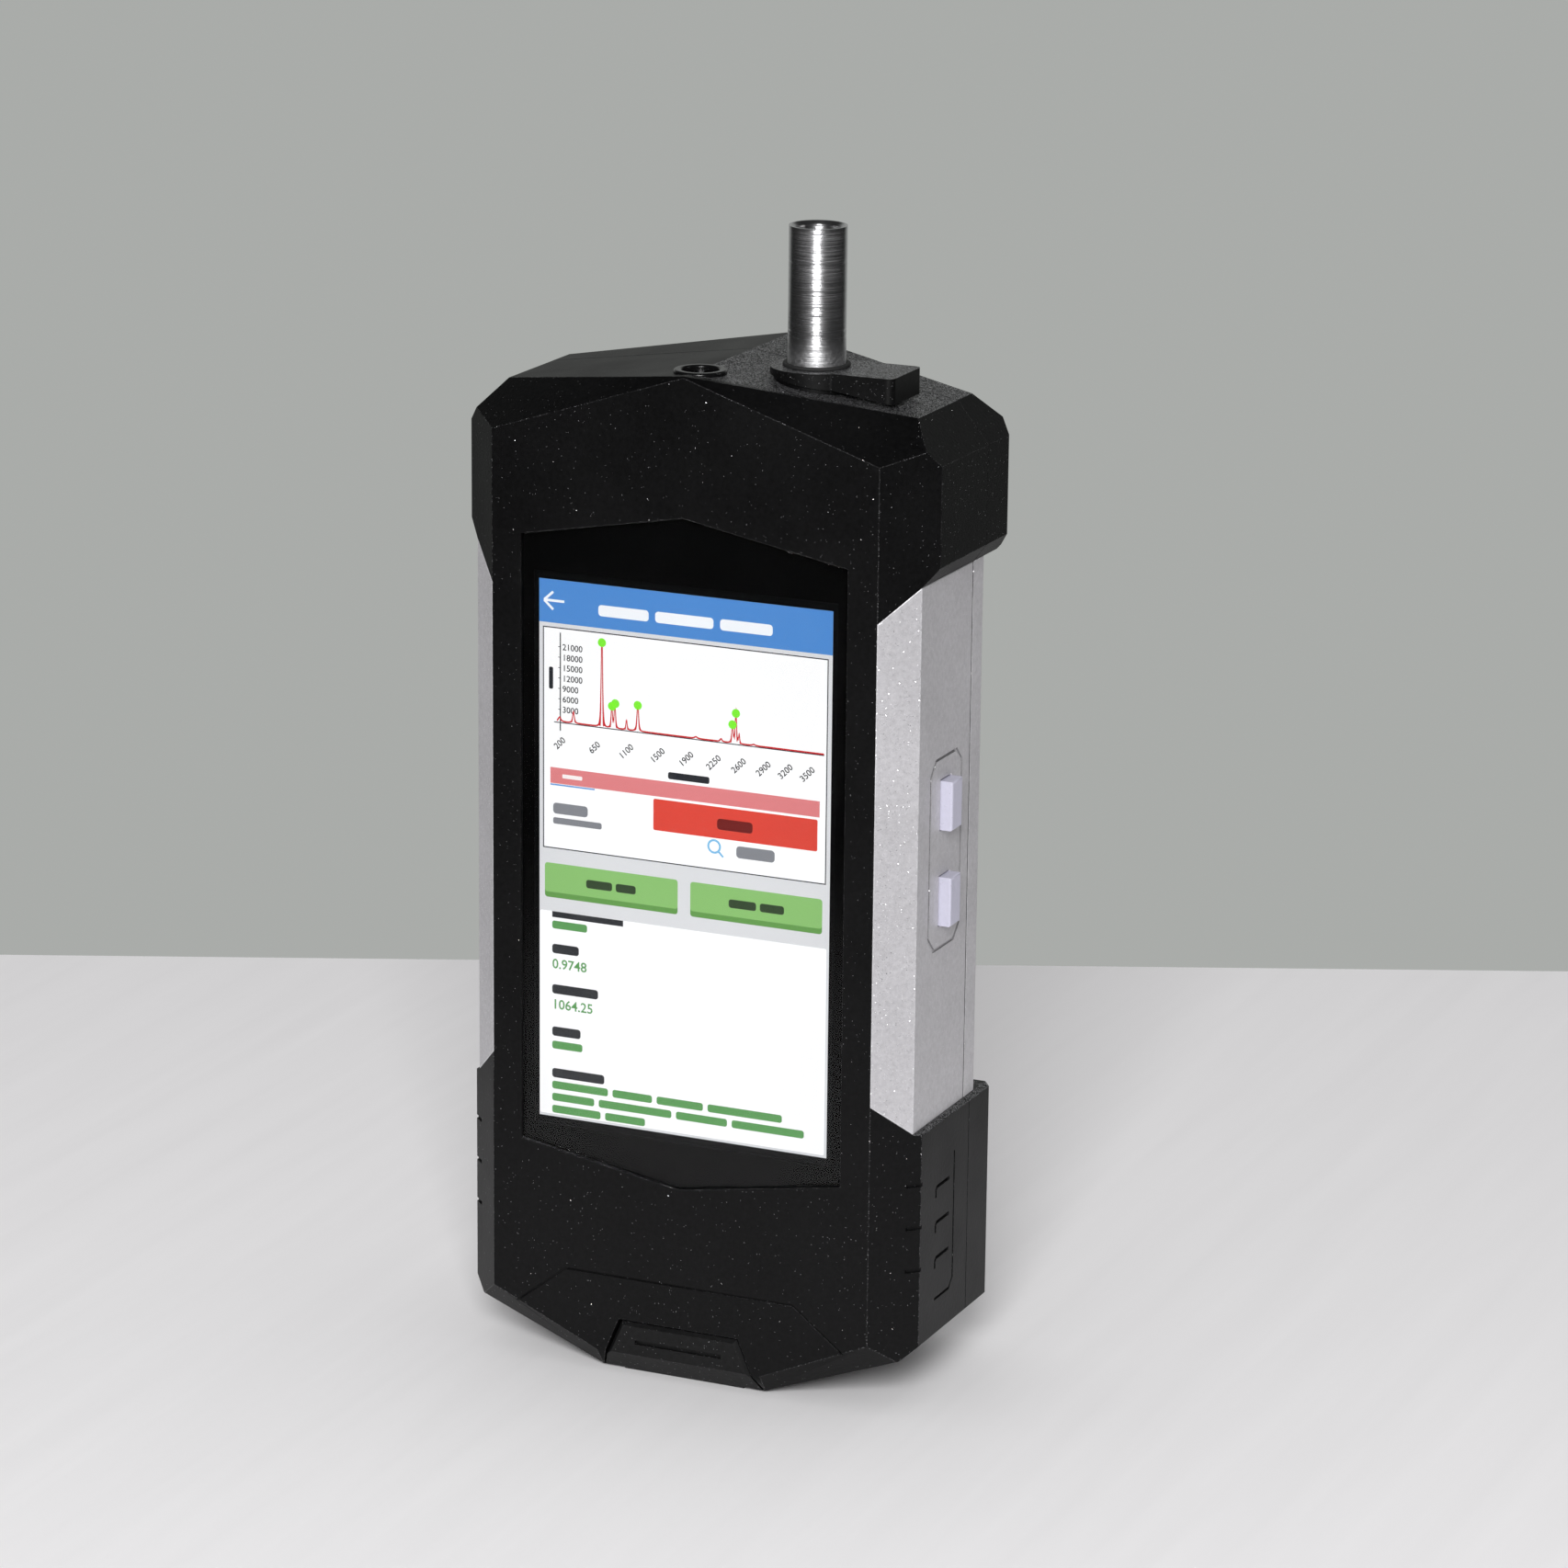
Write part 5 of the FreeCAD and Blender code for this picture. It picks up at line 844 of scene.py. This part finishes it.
dress(nodes["laser_module"], laser_brass)
dress(nodes["bench_screws"], bright_steel)
dress(nodes["detector_board"], circuit_board)

# Adapter: a black painted plate on the roof, held by a magnet and a pin, and a thin-walled
# steel tube turned with fine rings, dulled near its foot, where a rubber ring closes its
# joint with the plate.
PLATE_ROUND = 0.5 * MM
TUBE_ROUND = 0.12 * MM
TUBE_EDGES_FROM = 230.0 * MM
RING_ROUND = 0.2 * MM
RIM_ANGLE = math.radians(30)
RINGS_PER_METRE = 60000.0
RING_LEAN = 0.9
BLAST_FULL = 1.2 * MM
BLAST_END = 6.0 * MM
# The plate's upward faces get more and bigger flecks: a painted glint where the light makes its top
# sparkle.
plate_paint = painted(
    "plate_paint", paint=(0.0032, 0.0032, 0.0034), fleck=(0.6, 0.6, 0.62),
    worn=(0.04, 0.04, 0.041), wear=0.6, metal=0.0, specular=0.25, Roughness=0.46, Mottle=0.9,
    Fleck_Share=0.06, Edge_Share=0.5, Thick_Share=0.6, Fleck_Tilt=1.0, Peel_Depth=0.00002)
plate = copy_of("adapter_plate", "adapter_foot")
outer_edges(plate, least_length=0.0)
round_edges(PLATE_ROUND)
finish_piece(plate, plate_paint, "adapter")


def make_turned_steel(foot):
    """Bright steel with fine lathe rings, bead blasted for a few millimetres above its foot."""
    material, tree, shader = new_material("turned_steel", Metallic=1.0)
    place = object_place(tree)
    height = add(tree, "ShaderNodeSeparateXYZ", {"Vector": place}).outputs["Z"]
    uneven = noise(tree, mapped(tree, place, Scale=(20.0, 20.0, 1800.0)), 1.0, 2.0)
    ring_number = math_node(tree, "FLOOR",
                            math_node(tree, "MULTIPLY", height, RINGS_PER_METRE))
    chance = add(tree, "ShaderNodeTexWhiteNoise", {"W": ring_number},
                 noise_dimensions="1D").outputs["Value"]
    centred = math_node(tree, "SUBTRACT", chance, 0.5)
    reach = map_range(tree, uneven, 0.3, 0.7, 0.6 * RING_LEAN, RING_LEAN)
    lean = math_node(tree, "MULTIPLY", centred, reach)
    upward = add(tree, "ShaderNodeCombineXYZ", {"Z": lean}).outputs["Vector"]
    face = tree.nodes.new("ShaderNodeNewGeometry").outputs["Normal"]
    lathe = vector_math(tree, "NORMALIZE", vector_math(tree, "ADD", face, upward))
    dull = map_range(tree, height, foot + BLAST_FULL, foot + BLAST_END, 1.0, 0.0)
    blasted = math_node(tree, "MULTIPLY", dull, noise(tree, place, 1600.0, 2.0))
    rough = math_node(tree, "MULTIPLY_ADD", blasted, 0.5, 0.27)
    tint = scaled(tree, (0.6, 0.6, 0.61), map_range(tree, uneven, 0.0, 1.0, 0.86, 1.1))
    give(tree, shader, {"Base Color": tint, "Roughness": rough, "Normal": lathe})
    return material


turned_steel = make_turned_steel(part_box("adapter_plate")[1][2])
black_rubber = grained("black_rubber", (0.012, 0.012, 0.0122), 0.72, 2600.0, 0.00002,
                       contrast=0.5)
tube = copy_of("adapter_tube", "adapter_nose")
outer_edges(tube, RIM_ANGLE, 0.0, skip=lambda middle: middle.z < TUBE_EDGES_FROM)
round_edges(TUBE_ROUND, 2)
finish_piece(tube, turned_steel, "adapter", smooth=35)
tube_ring = copy_of("tube_ring", "foot_ring")
outer_edges(tube_ring, RIM_ANGLE, 0.0)
round_edges(RING_ROUND, 2)
finish_piece(tube_ring, black_rubber, "adapter", smooth=50)
for node in ("tab_magnet", "roof_magnet", "locating_pin"):
    dress(nodes[node], bright_steel)

# Aiming camera: a glossy black bezel, moulded and pressed into the ridge. It sits over a small
# window, with the camera module under that.
BEZEL_ROUND = 0.45 * MM
BEZEL_EDGES_FROM = 202.5 * MM
gloss_black = grained("gloss_black", (0.004, 0.004, 0.0042), 0.2, 500.0, 0.000001, spread=0.08,
                      Specular_IOR_Level=0.3)
bezel = copy_of("camera_bezel", "camera_collar")
outer_edges(bezel, RIM_ANGLE, 0.0, skip=lambda middle: middle.z < BEZEL_EDGES_FROM)
round_edges(BEZEL_ROUND, 4)
finish_piece(bezel, gloss_black, "housing", smooth=50)
dress(nodes["camera_window"], clear_optic)
dress(nodes["camera_module"], gloss_black)

# Port cover: a rubber flap, hinged on a steel pin behind, whose lip fills the notch under the
# front. The ports sit on a board of their own above it: a shelled data port and a round
# charging jack.
LIP_ROUND = 0.15 * MM
LIP_EDGE_LENGTH = 1.0 * MM
cover_rubber = painted(
    "cover_rubber", paint=(0.0046, 0.0046, 0.0048), fleck=(0.6, 0.6, 0.62),
    worn=(0.035, 0.035, 0.036), wear=0.6, metal=0.0, specular=0.25, Roughness=0.5, Mottle=0.9,
    Fleck_Share=0.02, Edge_Share=0.5, Fleck_Tilt=1.2, Peel_Depth=0.00003)
flap = copy_of("port_cover", "port_flap_cover")
outer_edges(flap, least_length=LIP_EDGE_LENGTH)
round_edges(LIP_ROUND, 2)
finish_piece(flap, cover_rubber, "port_flap")
for node in ("port_cover_pin", "data_port"):
    dress(nodes[node], bright_steel)
dress(nodes["port_board"], circuit_board)
dress(nodes["charging_jack"], moulded_black)

# Battery: two cells in blue shrink film, in a moulded tray with brass contacts, behind a
# painted door that four screws hold. Each screw has a hexagon socket, pressed into its head.
DOOR_ROUND = 0.3 * MM
DOOR_HEAD_RADIUS = 2.1 * MM
DOOR_SOCKET = (1.15 * MM, 0.9 * MM)
DOOR_HEAD_ROUND = 0.12 * MM
SOCKET_EDGE_ANGLE = math.radians(50)


def socket_screws(node, label, places, radius, depth):
    """Screws with a hexagon socket in each head; places are the middles of the heads' faces."""
    screws = copy_of(node, label)
    bpy.ops.object.mode_set(mode="OBJECT")
    bpy.ops.object.select_all(action="DESELECT")
    bpy.ops.mesh.primitive_cylinder_add(vertices=6, radius=radius, depth=2 * depth,
                                        location=places[0], rotation=(math.pi / 2, 0, 0))
    key = bpy.context.object
    bpy.ops.object.transform_apply(location=False, rotation=True, scale=False)
    bpy.context.view_layer.objects.active = screws
    for place in places:
        key.location = place
        cut = screws.modifiers.new("socket", "BOOLEAN")
        cut.operation = "DIFFERENCE"
        cut.solver = "EXACT"
        cut.object = key
        bpy.ops.object.modifier_apply(modifier=cut.name)
    bpy.data.objects.remove(key, do_unlink=True)
    edit(screws)
    outer_edges(screws, SOCKET_EDGE_ANGLE, 0.0)
    return screws


bright_screw = metal("screw_steel", (0.5, 0.5, 0.51), 0.28, (700.0, 700.0, 700.0),
                     worn=(0.75, 0.75, 0.76))
low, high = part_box("door_screws")
reach_x = (high[0] - low[0]) / 2 - DOOR_HEAD_RADIUS
door_heads = [(side * reach_x, high[1], up) for side in (-1, 1)
              for up in (low[2] + DOOR_HEAD_RADIUS, high[2] - DOOR_HEAD_RADIUS)]
door_screws = socket_screws("door_screws", "door_screw_set", door_heads, *DOOR_SOCKET)
round_edges(DOOR_HEAD_ROUND, 2)
finish_piece(door_screws, bright_screw, "housing", smooth=35)
door = copy_of("battery_door", "battery_lid")
outer_edges(door)
round_edges(DOOR_ROUND)
finish_piece(door, black_paint, "housing")
battery_wrap = grained("battery_wrap", (0.035, 0.09, 0.26), 0.32, 260.0, 0.00006,
                       contrast=0.12, Coat_Weight=0.3, Coat_Roughness=0.2)
dress(nodes["battery_pack"], battery_wrap)
dress(nodes["battery_tray"], moulded_black)
dress(nodes["battery_contacts"], laser_brass)

# Closing the housing: a rubber cord in the seam's groove, and four long screws from behind,
# two through the bumper and two through the head.
SHELL_HEAD_RADIUS = 2.8 * MM
SHELL_HEAD_HEIGHT = 2.4 * MM
SHELL_SOCKET = (1.5 * MM, 1.3 * MM)
SHELL_HEAD_ROUND = 0.15 * MM
BUMPER_SEAT = 20.85 * MM  # where the lower heads rest
low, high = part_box("shell_screws")
reach_x = (high[0] - low[0]) / 2 - SHELL_HEAD_RADIUS
shell_heads = [(side * reach_x, face, up) for side in (-1, 1)
               for face, up in ((BUMPER_SEAT + SHELL_HEAD_HEIGHT, low[2] + SHELL_HEAD_RADIUS),
                                (high[1], high[2] - SHELL_HEAD_RADIUS))]
shell_screws = socket_screws("shell_screws", "shell_screw_set", shell_heads, *SHELL_SOCKET)
round_edges(SHELL_HEAD_ROUND, 2)
finish_piece(shell_screws, bright_screw, "housing", smooth=35)
dress(nodes["shell_seal"], black_rubber)

# Foot pad: a sheet of soft rubber, cut to the flat of the base and glued under it. It is open
# at the front, where the port cover swings out.
PAD_ROUND = 0.12 * MM
PAD_EDGE_ANGLE = math.radians(40)
pad = copy_of("foot_pad", "base_pad")
outer_edges(pad, PAD_EDGE_ANGLE)
round_edges(PAD_ROUND, 2)
finish_piece(pad, black_rubber, "housing")

# Stage: a pale table top that ends behind the instrument, and a plain pale room beyond it.
# The table's far parts are dim to polished faces, which show it only near the instrument.
TABLE_BACK = 0.262
TABLE_FRONT = 3.0
TABLE_HALF = 3.0
TABLE_COLOUR = (0.86, 0.85, 0.86)
TABLE_DIM = (0.05, 0.05, 0.05)
DIM_FROM = 0.16
DIM_TO = 0.42
VIEW_YAW = math.radians(24.0)
bpy.ops.object.select_all(action="DESELECT")
bpy.ops.mesh.primitive_plane_add(size=2, location=(0, 0, 0))
table = bpy.context.object
table.name = "table_top"
table.data.transform(Matrix.Rotation(VIEW_YAW, 4, "Z")
                     @ Matrix.Translation((0, (TABLE_BACK - TABLE_FRONT) / 2, 0))
                     @ Matrix.Diagonal((TABLE_HALF, (TABLE_BACK + TABLE_FRONT) / 2, 1, 1)))
table_surface, tree, shader = new_material("pale_table", Roughness=0.9, Specular_IOR_Level=0.0)
place = object_place(tree)
stretch = mapped(tree, place, Rotation=(0, 0, -VIEW_YAW), Scale=(9.0, 0.6, 1.0))
streaks = noise(tree, stretch, 14.0, 4.0, distortion=0.3)
shade = scaled(tree, TABLE_COLOUR, map_range(tree, streaks, 0.0, 1.0, 0.96, 1.03))
away = vector_math(tree, "LENGTH", place, end="Value")
far = map_range(tree, away, DIM_FROM, DIM_TO, interpolation_type="SMOOTHSTEP")
glossy_ray = tree.nodes.new("ShaderNodeLightPath").outputs["Is Glossy Ray"]
mirrored = math_node(tree, "MULTIPLY", far, glossy_ray)
give(tree, shader, {"Base Color": mixed(tree, mirrored, shade, (*TABLE_DIM, 1))})
dress(table, table_surface)

# Room: a pale wall behind the instrument, which lights it softly and shows in its polished
# faces. The room in front and overhead is dim. To the camera it is pale on every side.
WALL_COLOUR = (0.40, 0.412, 0.398)
WALL_LIGHT = 0.60
FRONT_LIGHT = 0.30
MIRRORED_DIM = 0.035
world = bpy.data.worlds.new("pale_room")
bpy.context.scene.world = world
world.use_nodes = True
tree = world.node_tree
tree.nodes.clear()
path = tree.nodes.new("ShaderNodeLightPath")
seen = math_node(tree, "MAXIMUM", path.outputs["Is Camera Ray"],
                 path.outputs["Is Transmission Ray"])
towards = object_place(tree)
forward = (-math.sin(VIEW_YAW), math.cos(VIEW_YAW), 0.0)
ahead = vector_math(tree, "DOT_PRODUCT", towards, forward, end="Value")
height = add(tree, "ShaderNodeSeparateXYZ", {"Vector": towards}).outputs["Z"]
behind = map_range(tree, ahead, 0.6, 0.86)
below = map_range(tree, height, 0.4, 0.8, 1.0, 0.0)
pale = math_node(tree, "MULTIPLY", behind, below)
mirrored = math_node(tree, "MULTIPLY_ADD", pale, 1.0 - MIRRORED_DIM, MIRRORED_DIM)
light = map_range(tree, ahead, -1.0, 1.0, FRONT_LIGHT, WALL_LIGHT)
soft = add(tree, "ShaderNodeBackground", {"Color": (1, 1, 1, 1), "Strength": light})
glossy_wall = add(tree, "ShaderNodeBackground",
                  {"Color": (*WALL_COLOUR, 1), "Strength": mirrored})
wall = add(tree, "ShaderNodeBackground", {"Color": (*WALL_COLOUR, 1), "Strength": 1.0})
lighting = add(tree, "ShaderNodeMixShader",
               {"Fac": path.outputs["Is Glossy Ray"], 1: soft.outputs[0],
                2: glossy_wall.outputs[0]})
whole = add(tree, "ShaderNodeMixShader",
            {"Fac": seen, 1: lighting.outputs[0], 2: wall.outputs[0]})
add(tree, "ShaderNodeOutputWorld", {"Surface": whole.outputs[0]})

# Lamp: one large soft lamp just above the camera, as a studio's softbox stands. It gives the
# faces in front their light and the tube its bright streak.
TARGET = Vector((0, 0, 0.11))
LAMP_PLACE = Vector((0.54, -1.42, 0.86))
LAMP_SIZE = 0.6
LAMP_WATTS = 27.0
bpy.ops.object.light_add(type="AREA", location=LAMP_PLACE)
lamp = bpy.context.object
lamp.name = "key_lamp"
lamp.rotation_euler = (TARGET - LAMP_PLACE).to_track_quat("-Z", "Y").to_euler()
lamp.data.size = LAMP_SIZE
lamp.data.energy = LAMP_WATTS

# Camera: where the photograph was taken from, with a lens of its length on a full-frame
# sensor. Its place was solved from the straight edges of the object.
CAMERA_PLACE = (0.45346, -0.99533, 0.41498)
CAMERA_PITCH = math.radians(15.24)
CAMERA_ROLL = math.radians(0.61)
CAMERA_LENS = 132.33
CAMERA_SENSOR = 36.0
bpy.ops.object.camera_add(location=CAMERA_PLACE)
camera = bpy.context.object
turn = (Matrix.Rotation(VIEW_YAW, 3, "Z") @ Matrix.Rotation(math.pi / 2 - CAMERA_PITCH, 3, "X")
        @ Matrix.Rotation(CAMERA_ROLL, 3, "Z"))
camera.rotation_euler = turn.to_euler()
camera.data.lens = CAMERA_LENS
camera.data.sensor_width = CAMERA_SENSOR
bpy.context.scene.camera = camera
bpy.context.scene.view_settings.view_transform = "Standard"
